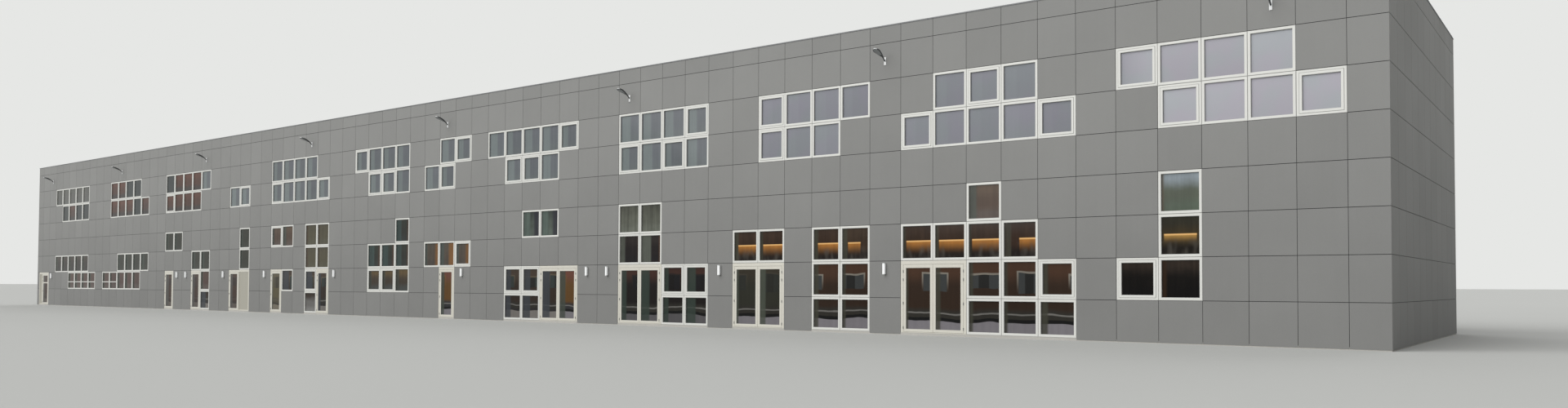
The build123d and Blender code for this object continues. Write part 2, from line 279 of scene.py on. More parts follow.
class Nodes:
    """Node tree of a material or of the world."""

    def __init__(self, tree: bpy.types.NodeTree) -> None:
        """Start from an empty tree."""
        self.tree = tree
        self.tree.nodes.clear()

    def add(self, kind: str, settings: Optional[dict] = None,
            values: Optional[dict] = None) -> bpy.types.Node:
        """Add a node.

        Args:
            kind: The node's type.
            settings: Its own settings, which are set first.
            values: What its input sockets hold or are linked to, by name or number.

        Returns:
            The new node.
        """
        node = self.tree.nodes.new(kind)
        for name, setting in (settings or {}).items():
            setattr(node, name, setting)
        for key, value in (values or {}).items():
            if isinstance(value, Value):
                value = value.socket
            if isinstance(value, bpy.types.NodeSocket):
                self.tree.links.new(value, node.inputs[key])
            else:
                node.inputs[key].default_value = value
        return node

    def number(self, kind: str, settings: Optional[dict] = None, values: Optional[dict] = None,
               output: Union[int, str] = 0) -> Value:
        """Add a node for the number that it gives.

        Args:
            kind: The node's type.
            settings: Its own settings.
            values: What its input sockets hold or are linked to.
            output: The output's number or name.

        Returns:
            The output.
        """
        return Value(self, self.add(kind, settings, values).outputs[output])

    def place(self, stretch: float = 1.0) -> bpy.types.NodeSocket:
        """Place on the object, with its height times a stretch.

        Args:
            stretch: Factor on the height.

        Returns:
            The place as a vector.
        """
        place = self.add("ShaderNodeTexCoord").outputs["Object"]
        if stretch == 1.0:
            return place
        node = self.add("ShaderNodeVectorMath", {"operation": "MULTIPLY"}, {0: place, 1: (1, 1, stretch)})
        return node.outputs[0]

    def axes(self) -> tuple[Value, Value, Value]:
        """The three coordinates of the place on the object."""
        split = self.add("ShaderNodeSeparateXYZ", values={0: self.place()})
        return tuple(Value(self, socket) for socket in split.outputs)

    def noise(self, pattern: Pattern) -> Value:
        """Noise from 0 to 1 in a pattern."""
        return self.number("ShaderNodeTexNoise", values={
            "Vector": self.place(pattern.stretch), "Scale": pattern.scale, "Detail": pattern.detail})

    def island(self) -> Value:
        """Random number from 0 to 1, one for each loose part of the mesh."""
        return self.number("ShaderNodeNewGeometry", output="Random Per Island")

    def chance(self, *seeds: Value) -> Value:
        """Random number from 0 to 1, the same wherever the seeds are the same.

        Args:
            seeds: Numbers that it depends on.

        Returns:
            The random number.
        """
        vector = self.add("ShaderNodeCombineXYZ", values=dict(enumerate(seeds)))
        return self.number("ShaderNodeTexWhiteNoise", {"noise_dimensions": "3D"},
                           {0: vector.outputs[0]}, "Value")

    def blend(self, share: Number, low: Tint, high: Tint) -> bpy.types.NodeSocket:
        """Mix two colours by a share from 0 to 1.

        Args:
            share: How far the mix lies towards the high colour.
            low: Colour at 0.
            high: Colour at 1.

        Returns:
            The mixed colour.
        """
        low, high = (linear(tint) if isinstance(tint, tuple) else tint for tint in (low, high))
        # Colours go into sockets 6 and 7 of a Mix node and come out of socket 2
        node = self.add("ShaderNodeMix", {"data_type": "RGBA"}, {0: share, 6: low, 7: high})
        return node.outputs[2]

    def scaled(self, colour: Tint, factor: Number) -> bpy.types.NodeSocket:
        """A colour times a number."""
        tint = linear(colour)[:3] if isinstance(colour, tuple) else colour
        return self.add("ShaderNodeVectorMath", {"operation": "SCALE"}, {0: tint, 3: factor}).outputs[0]

    def bump(self, height: Value, relief: float, strength: float) -> bpy.types.NodeSocket:
        """Normal of a surface with a fine relief."""
        return self.add("ShaderNodeBump", values={"Strength": strength, "Distance": relief,
                                                  "Height": height}).outputs[0]

    def surface(self, **inputs: object) -> None:
        """Close the tree with a Principled shader.

        Args:
            inputs: Its sockets, with an underscore for each space.
        """
        values = {name.replace("_", " "): value for name, value in inputs.items()}
        shader = self.add("ShaderNodeBsdfPrincipled", values=values)
        self.add("ShaderNodeOutputMaterial", values={0: shader.outputs[0]})


@dataclass(frozen=True)
class Finish:
    """A finish by name. Each kind draws its own node tree."""

    name: str

    def draw(self, nodes: Nodes) -> None:
        """Fill the node tree of the finish."""
        raise NotImplementedError

    def material(self) -> bpy.types.Material:
        """The finish as a material, made once.

        Returns:
            The material.
        """
        if self.name not in bpy.data.materials:
            material = bpy.data.materials.new(self.name)
            material.use_nodes = True
            self.draw(Nodes(material.node_tree))
        return bpy.data.materials[self.name]


@dataclass(frozen=True)
class CementPanel(Finish):
    """Through-coloured cement board: each panel has its own tone, with clouds, grain and rain streaks, and
    painted shade that darkens it towards the foot.
    """

    colour: Colour = (140, 140, 138)
    panel_share: float = 0.07
    clouds: Pattern = Pattern(5.0, 4.0)
    cloud_share: float = 0.14
    grain: Pattern = Pattern(700.0, 1.0)
    grain_share: float = 0.10
    streaks: Pattern = Pattern(60.0, stretch=0.04)
    streak_share: float = 0.03
    foot_shade_height: float = 0.9
    foot_shade_share: float = 0.16
    roughness: float = 0.65
    roughness_share: float = 0.2
    relief: float = 0.15 * MM
    relief_strength: float = 0.5
    specular: float = 0.15

    def draw(self, nodes: Nodes) -> None:
        """Fill the node tree of the finish.

        Args:
            nodes: Node tree of the finish.
        """
        clouds, grain = nodes.noise(self.clouds), nodes.noise(self.grain)
        # Painted shade: the board grows darker towards the ground.
        foot_shade = 1 - nodes.axes()[2].rise(0.0, self.foot_shade_height)
        tone = (1 + nodes.island().sway(self.panel_share) + clouds.sway(self.cloud_share)
                + grain.sway(self.grain_share) + nodes.noise(self.streaks).sway(self.streak_share)
                - foot_shade * self.foot_shade_share)
        nodes.surface(
            Base_Color=nodes.scaled(self.colour, tone),
            Roughness=self.roughness + clouds.sway(self.roughness_share),
            Normal=nodes.bump(grain, self.relief, self.relief_strength),
            Specular_IOR_Level=self.specular,
        )


@dataclass(frozen=True)
class Coating(Finish):
    """Coated profile: near-even colour, broad faint runs, and fine dust that settles on it; a glow, where
    set, is painted light.
    """

    colour: Colour
    roughness: float = 0.35
    metallic: float = 0.0
    mottle: float = 0.06
    painted_glow: float = 0.0
    broad: Pattern = Pattern(45.0, stretch=0.15)
    fine: Pattern = Pattern(300.0)
    roughness_share: float = 0.12
    relief: float = 0.05 * MM
    relief_strength: float = 0.3

    def draw(self, nodes: Nodes) -> None:
        """Fill the node tree of the finish.

        Args:
            nodes: Node tree of the finish.
        """
        fine = nodes.noise(self.fine)
        tone = 1 + nodes.noise(self.broad).sway(self.mottle) + fine.sway(self.mottle)
        nodes.surface(
            Base_Color=nodes.scaled(self.colour, tone),
            Roughness=self.roughness + fine.sway(self.roughness_share),
            Metallic=self.metallic,
            Normal=nodes.bump(fine, self.relief, self.relief_strength),
            # The glow is painted light: it lifts the whole finish evenly, its shaded side too.
            Emission_Color=linear(self.colour),
            Emission_Strength=self.painted_glow,
        )


@dataclass(frozen=True)
class Concrete(Coating):
    """Bare concrete: clouds take the place of runs, and pores that of dust."""

    roughness: float = 0.85
    mottle: float = 0.2
    broad: Pattern = Pattern(7.0, 5.0)
    fine: Pattern = Pattern(250.0, 3.0)
    roughness_share: float = 0.15
    relief: float = 0.4 * MM
    relief_strength: float = 0.5


@dataclass(frozen=True)
class WallCore(Finish):
    """Wall or slab behind the panels: dark membrane at the rim, plaster or concrete inside.

    Above the roof it has felt instead of plaster.
    """

    membrane: Colour = (38, 38, 40)
    plaster: Colour = (205, 202, 194)
    upstand: Colour = (88, 89, 91)
    parapet_foot: float = 985 * MM
    skin: float = 4 * MM
    soft: float = 1 * MM
    grain: Pattern = Pattern(180.0, 3.0)
    grain_share: float = 0.12
    roughness: float = 0.85
    roughness_share: float = 0.2
    relief: float = 0.3 * MM
    relief_strength: float = 0.4

    def draw(self, nodes: Nodes) -> None:
        """Fill the node tree of the finish.

        Args:
            nodes: Node tree of the finish.
        """
        x, y, z = nodes.axes()
        inside_x, inside_y = (
            1 - abs(place).rise(half - self.skin - self.soft, half - self.skin)
            for place, half in ((x, GRID.length / 2), (y, GRID.depth / 2)))
        over_roof = z.rise(self.parapet_foot, self.parapet_foot + self.soft)
        inner = nodes.blend(over_roof, self.plaster, self.upstand)
        colour = nodes.blend(inside_x * inside_y, self.membrane, inner)
        grain = nodes.noise(self.grain)
        nodes.surface(
            Base_Color=nodes.scaled(colour, 1 + grain.sway(self.grain_share)),
            Roughness=self.roughness + grain.sway(self.roughness_share),
            Normal=nodes.bump(grain, self.relief, self.relief_strength),
        )


@dataclass(frozen=True)
class RoofFelt(Finish):
    """Bitumen felt: mineral grain, with damp patches that dried in rings."""

    colour: Colour = (96, 97, 98)
    strip_share: float = 0.12
    damp: Pattern = Pattern(4.0, 5.0)
    damp_edge: Range = (0.45, 0.62)
    damp_share: float = 0.16
    grain: Pattern = Pattern(600.0)
    grain_share: float = 0.4
    roughness: float = 0.9
    roughness_share: float = 0.2
    relief: float = 0.4 * MM
    relief_strength: float = 0.7
    specular: float = 0.3

    def draw(self, nodes: Nodes) -> None:
        """Fill the node tree of the finish.

        Args:
            nodes: Node tree of the finish.
        """
        damp = nodes.noise(self.damp).rise(*self.damp_edge)
        grain = nodes.noise(self.grain)
        tone = 1 + nodes.island().sway(self.strip_share) + grain.sway(self.grain_share)
        nodes.surface(
            Base_Color=nodes.scaled(self.colour, tone * (1 - damp * self.damp_share)),
            Roughness=self.roughness - damp * self.roughness_share,
            Normal=nodes.bump(grain, self.relief, self.relief_strength),
            Specular_IOR_Level=self.specular,
        )


@dataclass(frozen=True)
class Cell:
    """Place in a cell of the grid, in shares of its width and height, and the cell's random number."""

    along: Value
    up: Value
    own: Value


@dataclass(frozen=True)
class Glazing(Finish):
    """Coated glass, painted pane by pane with painted reflections and the painted shade of the rooms behind:
    tones from top to foot, a strip at the left and soft folds.

    The look repeats in every cell of the grid, with random tones for each. Places in a cell are
    shares of its width or height.
    """

    top: Colour
    middle: Colour
    foot: Colour
    foot_edge: Range = (0.18, 0.42)
    top_edge: Range = (0.5, 0.85)
    waves: Pattern = Pattern(30.0)
    wave_reach: float = 0.16
    strip: Optional[Colour] = None
    strip_start: float = -0.1
    strip_share: float = 0.2
    strip_soft: float = 0.08
    warm: Optional[Colour] = None
    warm_share: float = 0.4
    warm_soft: Range = (-0.1, 0.08)
    side_cover: float = 0.85
    side_spread: float = 0.6
    other: Optional[Colour] = None
    other_edge: Range = (0.45, 0.55)
    spread: float = 0.16
    folds: float = 0.12
    fold_lines: Pattern = Pattern(90.0, stretch=0.05)
    stains: Pattern = Pattern(24.0, 3.0)
    haze: Pattern = Pattern(15.0)
    roughness: float = 0.075
    haze_share: float = 0.05
    specular: float = 0.12
    by_row: bool = True

    def cell(self, nodes: Nodes) -> Cell:
        """Place in the cell, from its lower left corner.

        Args:
            nodes: Node tree of the finish.

        Returns:
            The place, with a random number for each cell, or for each column.
        """
        x, _, z = nodes.axes()
        along = (x - GRID.joint_x(1)) / GRID.module
        up = z / GRID.module
        seeds = (along.floor(), up.floor()) if self.by_row else (along.floor(),)
        return Cell(along.fraction(), up.fraction(), nodes.chance(*seeds))

    def picture(self, nodes: Nodes, cell: Cell) -> Tint:
        """What shows in the pane, before its strip and folds.

        Args:
            nodes: Node tree of the finish.
            cell: Place in the cell.

        Returns:
            The colour.
        """
        height = cell.up + nodes.noise(self.waves).sway(self.wave_reach)
        lower = nodes.blend(height.rise(*self.foot_edge), self.foot, self.middle)
        colour = nodes.blend(height.rise(*self.top_edge), lower, self.top)
        if self.other is not None:
            colour = nodes.blend(cell.own.rise(*self.other_edge), colour, self.other)
        return colour

    def over(self, nodes: Nodes, colour: Tint, cell: Cell) -> Tint:
        """What shines over the pane, after its strip and folds: nothing on plain glass."""
        return colour

    def draw(self, nodes: Nodes) -> None:
        """Fill the node tree of the finish.

        Args:
            nodes: Node tree of the finish.
        """
        cell = self.cell(nodes)
        # Painted reflection and painted shade of the rooms behind, in the pane's base colour.
        colour = self.picture(nodes, cell)
        drift = 1 + cell.own.sway(self.side_spread)
        if self.warm is not None:
            edge = 1 - self.warm_share * drift
            side = cell.along.rise(*(edge + soft for soft in self.warm_soft))
            colour = nodes.blend(side * self.side_cover, colour, self.warm)
        if self.strip is not None:
            edge = self.strip_start + (self.strip_share - self.strip_start) * drift
            side = cell.along.within(self.strip_start, edge, self.strip_soft)
            colour = nodes.blend(side * self.side_cover, colour, self.strip)
        tone = (1 + cell.own.sway(self.spread) + nodes.noise(self.fold_lines).sway(2 * self.folds)
                + nodes.noise(self.stains).sway(self.folds))
        nodes.surface(
            Base_Color=self.over(nodes, nodes.scaled(colour, tone), cell),
            Roughness=self.roughness + nodes.noise(self.haze).sway(self.haze_share),
            Specular_IOR_Level=self.specular,
        )


@dataclass(frozen=True)
class SkyReflectionStep:
    """Two pale tones of painted sky reflection that the upper glass takes on beyond a place along the
    building.
    """

    start: float
    share: float
    tones: tuple[Colour, Colour]


@dataclass(frozen=True)
class UpperGlazing(Glazing):
    """Upper glass with a painted reflection of the sky, paler in two steps towards the right-hand end of the
    building.
    """

    sky_reflection_steps: tuple[SkyReflectionStep, ...] = (
        SkyReflectionStep(2.5, 0.8, ((131, 130, 140), (127, 131, 136))),
        SkyReflectionStep(3.95, 0.92, ((165, 162, 171), (160, 163, 168))),
    )
    soft: float = 0.1
    clouds: Pattern = Pattern(9.0, 3.0)
    cloud_edge: Range = (0.35, 0.65)
    cloud_share: float = 0.08
    brightness: float = 1.04
    pane_share: float = 0.12
    up_share: float = 0.14

    def over(self, nodes: Nodes, colour: Tint, cell: Cell) -> Tint:
        """What shines over the pane, after its strip and folds.

        Args:
            nodes: Node tree of the finish.
            colour: The pane's colour so far.
            cell: Place in the cell.

        Returns:
            The colour.
        """
        x = nodes.axes()[0]
        clouds = nodes.noise(self.clouds)
        tone = (self.brightness + cell.own.sway(self.pane_share) + cell.up.sway(self.up_share)
                + clouds.sway(self.cloud_share))
        # Painted reflection of the sky, with clouds, paler step by step towards the right-hand end.
        for step in self.sky_reflection_steps:
            pale = nodes.scaled(nodes.blend(clouds.rise(*self.cloud_edge), *step.tones), tone)
            shift = x.rise(step.start - self.soft, step.start + self.soft) * step.share
            colour = nodes.blend(shift, colour, pale)
        return colour


@dataclass(frozen=True)
class LowerGlazing(Glazing):
    """Glass of the two lower rows, with a painted reflection of the street: a pale forecourt at the foot, a
    dark band and a dim band with a pale line over it, and framed windows of houses above.
    """

    by_row: bool = False
    reflected_forecourt: Colour = (114, 111, 115)
    reflected_forecourt_top: float = 50 * MM
    reflected_dark_band: Colour = (20, 20, 20)
    reflected_dark_band_top: float = 61 * MM
    dim: Colour = (44, 42, 38)
    dim_top: float = 98 * MM
    dim_soft: float = 20 * MM
    line: Colour = (118, 116, 112)
    line_foot: float = 74 * MM
    line_width: float = 2.5 * MM
    line_cover: float = 0.7
    bay: float = 172 * MM
    bay_width: float = 132 * MM
    bay_least: float = 0.6
    sill: float = 140 * MM
    sill_spread: float = 24 * MM
    lintel: float = 214 * MM
    lintel_spread: float = 12 * MM
    outline: Colour = (122, 117, 108)
    outline_width: float = 6 * MM
    outline_cover: float = 0.9
    inside: Colour = (55, 57, 57)
    dark: Colour = (33, 33, 32)
    dark_part: Range = (0.35, 0.62)
    soft: float = 2.5 * MM
    sag: Pattern = Pattern(9.0)
    sag_reach: float = 24 * MM
    fade_foot: float = 0.75

    def bays(self, nodes: Nodes, colour: Tint, x: Value, height: Value) -> Tint:
        """Add the framed windows of the painted reflection.

        Args:
            nodes: Node tree of the finish.
            colour: What they lie on.
            x: Place along the building.
            height: Height above the ground, with the glass's sag.

        Returns:
            The colour with the bays.
        """
        soft, width = self.soft, self.outline_width
        place = (x / self.bay).fraction() * self.bay
        chance = nodes.chance((x / self.bay).floor())
        right = self.bay_width * (self.bay_least + chance * (1 - self.bay_least))
        low, high = self.sill + chance * self.sill_spread, self.lintel - chance * self.lintel_spread
        whole = place.within(soft, right, soft) * height.within(low - width, high, soft)
        hollow = place.within(soft + width, right - width, soft) * height.within(low, high - width, soft)
        dark = place.within(*(share * right for share in self.dark_part), 2 * soft)
        faded = whole * height.rise(low - width, high) * self.outline_cover
        colour = nodes.blend(faded, colour, self.outline)
        return nodes.blend(hollow, colour, nodes.blend(dark, self.inside, self.dark))

    def picture(self, nodes: Nodes, cell: Cell) -> Tint:
        """What shows in the pane, before its strip and folds.

        Args:
            nodes: Node tree of the finish.
            cell: Place in the cell.

        Returns:
            The colour.
        """
        x, _, z = nodes.axes()
        height = z + nodes.noise(self.sag).sway(self.sag_reach)
        colour = nodes.blend(z.rise(self.fade_foot * self.lintel, self.lintel), self.middle, self.top)
        colour = self.bays(nodes, colour, x, height)
        colour = nodes.blend(height.rise(self.dim_top - self.dim_soft, self.dim_top), self.dim, colour)
        line = height.within(self.line_foot, self.line_foot + self.line_width, self.soft)
        colour = nodes.blend(line * self.line_cover, colour, self.line)
        # Painted reflection of the forecourt at the foot, with a dark band over it.
        for edge, tint in ((self.reflected_dark_band_top, self.reflected_dark_band), (self.reflected_forecourt_top, self.reflected_forecourt)):
            colour = nodes.blend(height.rise(edge - self.soft, edge), tint, colour)
        return colour


@dataclass(frozen=True)
class LampGlazing(Glazing):
    """Glass with a lamp band behind it: a bright upper edge, and amber light that fades downwards."""

    start: float = 0.16
    start_spread: float = 0.08
    end: float = 1.1
    side_soft: float = 0.03
    edge: Colour = (230, 182, 118)
    edge_up: float = 0.54
    edge_height: float = 0.05
    edge_rise: float = 0.03
    edge_soft: float = 0.01
    edge_cover: float = 0.9
    painted_glow: Colour = (168, 112, 52)
    glow_foot: float = 0.08
    glow_top: float = 0.567
    streaks: Pattern = Pattern(42.0, stretch=0.12)
    streak_share: float = 0.8
    grey: Colour = (84, 80, 74)
    grey_up: Range = (0.25, 0.5)
    grey_side: Range = (0.1, 0.3)
    grey_cover: float = 0.5
    patches: Pattern = Pattern(38.0, 1.0, 0.4)
    patch_edge: Range = (0.42, 0.7)

    def over(self, nodes: Nodes, colour: Tint, cell: Cell) -> Tint:
        """What shines over the pane, after its strip and folds.

        Args:
            nodes: Node tree of the finish.
            colour: The pane's colour so far.
            cell: Place in the cell.

        Returns:
            The colour.
        """
        along, up = cell.along, cell.up
        wide = along.within(self.start + cell.own * self.start_spread, self.end, self.side_soft)
        below = wide * (1 - up.rise(self.edge_up - self.edge_soft, self.edge_up + self.edge_soft))
        light = up.rise(self.glow_foot, self.glow_top)
        fade = light * light * (1 + nodes.noise(self.streaks).sway(self.streak_share))
        colour = nodes.blend(below * fade, colour, self.painted_glow)
        patches = nodes.noise(self.patches).rise(*self.patch_edge)
        grey = (1 - up.rise(*self.grey_up)) * patches * along.rise(*self.grey_side)
        colour = nodes.blend(grey * self.grey_cover, colour, self.grey)
        foot = self.edge_up - self.edge_height
        bright = below * up.rise(foot, foot + self.edge_rise)
        return nodes.blend(bright * self.edge_cover, colour, self.edge)


FRAME_WHITE = Coating("frame_white", (214, 214, 209))
DOOR_CREAM = Coating("door_cream", (207, 204, 193))
PANEL_CREAM = Coating("panel_cream", (163, 160, 148), roughness=0.45)
# Grey on the frames' outer sides and sunk strip darkens the hairline between neighbouring units: painted
# shade.
FRAME_GAP_SHADE = Coating("frame_gap_painted_shade", (178, 178, 174), roughness=0.5)
GASKET = Coating("gasket_grey", (120, 120, 120), roughness=0.65)
COPING_GREY = Coating("coping_grey", (112, 113, 115), roughness=0.45, metallic=0.1)
# End lengths of coping are darker than the long ones: painted shade.
COPING_PAINTED_SHADE = Coating("coping_painted_shade", (58, 58, 68), roughness=0.42, metallic=0.3)
HINGE_STEEL = Coating("hinge_steel", (120, 122, 122), roughness=0.35, metallic=0.7)
# The opal glows a little: painted light that evens out its shaded side.
LAMP_OPAL = Coating("lamp_opal", (244, 245, 245), roughness=0.4, mottle=0.03, painted_glow=0.25)
# Floodlight heads and arms are dark as painted shade, and pale from the brow to the nose as a painted
# highlight.
LAMP_BODY_PAINTED_SHADE = Coating("lamp_body_painted_shade", (74, 76, 78), roughness=0.4, metallic=0.2)
LAMP_BROW_PAINTED_HIGHLIGHT = Coating("lamp_brow_painted_highlight", (206, 208, 208), roughness=0.35)
LAMP_PLATE = Coating("lamp_plate", (232, 233, 233), roughness=0.4)
LAMP_LENS = Coating("lamp_lens", (142, 145, 146), roughness=0.3, mottle=0.1)
PANELLING = CementPanel("cement_panel")
CONCRETE = Concrete("floor_concrete", (178, 176, 170))
WALL_CORE = WallCore("wall_core_faces")
SLAB_CORE = WallCore("slab_core_faces", plaster=(178, 176, 170))
FELT = RoofFelt("roof_felt")


class Outlook(Enum):
    """What shows in a pane, as painted reflections and painted shade of the rooms behind: its tones at the
    top, in the middle and at the foot, and what lies over them.
    """

    UPPER = UpperGlazing("glass_upper", (103, 106, 111), (101, 105, 109), (102, 107, 109),
                         strip=(116, 124, 124), strip_start=0.15, strip_share=0.4)
    RUSSET = Glazing("glass_russet", (98, 68, 58), (84, 62, 54), (68, 64, 62),
                     other=(62, 66, 66), spread=0.35)
    DUSK = Glazing("glass_dusk", (94, 95, 90), (95, 95, 92), (95, 97, 94), folds=0.2)
    WINE = Glazing("glass_wine", (78, 60, 53), (76, 58, 53), (88, 78, 74),
                   strip=(62, 67, 60), folds=0.25, spread=0.25)
    BLACK = Glazing("glass_black", (44, 36, 30), (14, 11, 9), (13, 11, 11),
                    strip=(46, 32, 20), strip_share=0.1, folds=0.6)
    NIGHT = Glazing("glass_night", (44, 39, 37), (32, 28, 28), (30, 28, 29), folds=0.4,
                    strip=(86, 90, 82), strip_share=0.36, warm=(84, 58, 40), warm_share=0.1)
    SHADE = Glazing("glass_shade", (60, 54, 47), (48, 44, 40), (46, 44, 42),
                    strip=(66, 70, 64), folds=0.3)
    BROWN = Glazing("glass_brown", (88, 74, 62), (78, 64, 54), (84, 74, 68),
                    strip=(66, 72, 66), folds=0.3)
    PALE_FOOT = Glazing("glass_pale_foot", (52, 44, 38), (98, 97, 95), (116, 116, 114), folds=0.08)
    WARM = Glazing("glass_warm", (78, 72, 64), (78, 70, 62), (74, 68, 62), folds=0.3,
                   strip=(70, 78, 74), warm=(118, 82, 46), warm_share=0.35)
    OLIVE = Glazing("glass_olive", (80, 76, 62), (82, 78, 62), (84, 82, 68),
                    strip=(74, 64, 52), folds=0.2)
    GREEN = Glazing("glass_green", (46, 50, 44), (44, 46, 42), (46, 50, 48), folds=0.35,
                    strip=(54, 68, 66), strip_share=0.35, warm=(66, 50, 40), warm_share=0.2)
    MOSS = Glazing("glass_moss", (54, 55, 48), (51, 53, 46), (56, 58, 52),
                   strip=(60, 67, 61), strip_share=0.28, folds=0.3)
    EMBER = Glazing("glass_ember", (88, 73, 49), (60, 52, 43), (66, 68, 66),
                    strip=(56, 60, 54), folds=0.3)
    CURTAIN = Glazing("glass_curtain", (64, 70, 66), (78, 86, 79), (86, 95, 88), folds=0.45,
                      strip=(84, 96, 90), strip_start=0.1, strip_share=0.4,
                      warm=(48, 47, 55), warm_share=0.38)
    DRAPE = Glazing("glass_drape", (80, 81, 73), (90, 92, 83), (99, 102, 93), folds=0.5)
    BLIND = Glazing("glass_blind", (130, 140, 146), (78, 84, 72), (82, 92, 80),
                    strip=(86, 78, 64), strip_share=0.1, folds=0.3)
    LAMP = LampGlazing("glass_lamp", (58, 44, 35), (52, 38, 28), (30, 25, 22),
                       strip=(62, 62, 52), strip_share=0.14, folds=0.4)
    LAMP_RIGHT = LampGlazing("glass_lamp_right", (52, 38, 30), (50, 34, 24), (26, 20, 18),
                             strip=(62, 60, 50), folds=0.4, start=0.45, end=0.97)
    LAMP_SHORT = LampGlazing("glass_lamp_short", (60, 48, 38), (54, 42, 32), (34, 30, 27),
                             strip=(62, 62, 52), strip_share=0.14, folds=0.4, start=0.2, end=0.65)
    LAMP_YELLOW = LampGlazing("glass_lamp_yellow", (42, 40, 31), (56, 47, 31), (24, 20, 16),
                              folds=0.4, start=0.07, end=0.85, painted_glow=(188, 144, 76), glow_foot=0.26)
    LOWER = LowerGlazing("glass_lower", (66, 46, 34), (46, 34, 26), (46, 34, 26),
                         strip=(60, 60, 51), strip_share=0.14)
    DARK_LOWER = LowerGlazing(
        "glass_dark_lower", (58, 38, 32), (26, 22, 21), (26, 22, 21), strip=(50, 60, 54), strip_share=0.32,
        outline=(34, 29, 27), inside=(24, 23, 25), dark=(22, 20, 20), reflected_forecourt=(82, 80, 82))
    SLATE_LOWER = LowerGlazing(
        "glass_slate_lower", (64, 53, 44), (47, 38, 32), (47, 38, 32), strip=(58, 62, 67), strip_share=0.4,
        outline=(84, 76, 62), inside=(46, 52, 50), reflected_dark_band=(40, 38, 38), reflected_forecourt=(112, 108, 104))
    GREEN_LOWER = LowerGlazing(
        "glass_green_lower", (52, 47, 38), (44, 44, 37), (44, 44, 37), strip=(70, 75, 66), strip_share=0.26,
        outline=(58, 54, 46), inside=(42, 43, 39), dark=(38, 38, 34))
    AMBER_LOWER = LowerGlazing(
        "glass_amber_lower", (98, 62, 50), (88, 62, 32), (88, 62, 32), strip=(62, 68, 61), strip_share=0.28,
        dim=(46, 45, 47), outline=(100, 74, 44), inside=(82, 58, 32), dark=(72, 52, 30))
    WINE_LOWER = LowerGlazing(
        "glass_wine_lower", (72, 58, 50), (66, 52, 45), (66, 52, 45), strip=(80, 79, 76), strip_share=0.4,
        dim=(62, 51, 46), reflected_dark_band=(54, 48, 45), outline=(76, 64, 56), inside=(60, 50, 46),
        dark=(54, 46, 42), line=(80, 72, 66), reflected_forecourt=(90, 83, 78))
    OLIVE_LOWER = LowerGlazing(
        "glass_olive_lower", (90, 84, 68), (86, 80, 60), (86, 80, 60), strip=(74, 80, 70),
        dim=(74, 70, 58), reflected_dark_band=(60, 56, 48), outline=(96, 88, 70), inside=(74, 70, 58),
        dark=(60, 56, 46), line=(92, 86, 72), reflected_forecourt=(112, 106, 94))


class Edge(Enum):
    """Which of a mitred frame's two rectangles a point of its section is measured from."""

    OUTER = auto()
    INNER = auto()


@dataclass(frozen=True)
class Corner:
    """One point of a frame's section: a step inwards from one of its rectangles, at a height."""

    edge: Edge
    step: float
    height: float
    finish: Finish


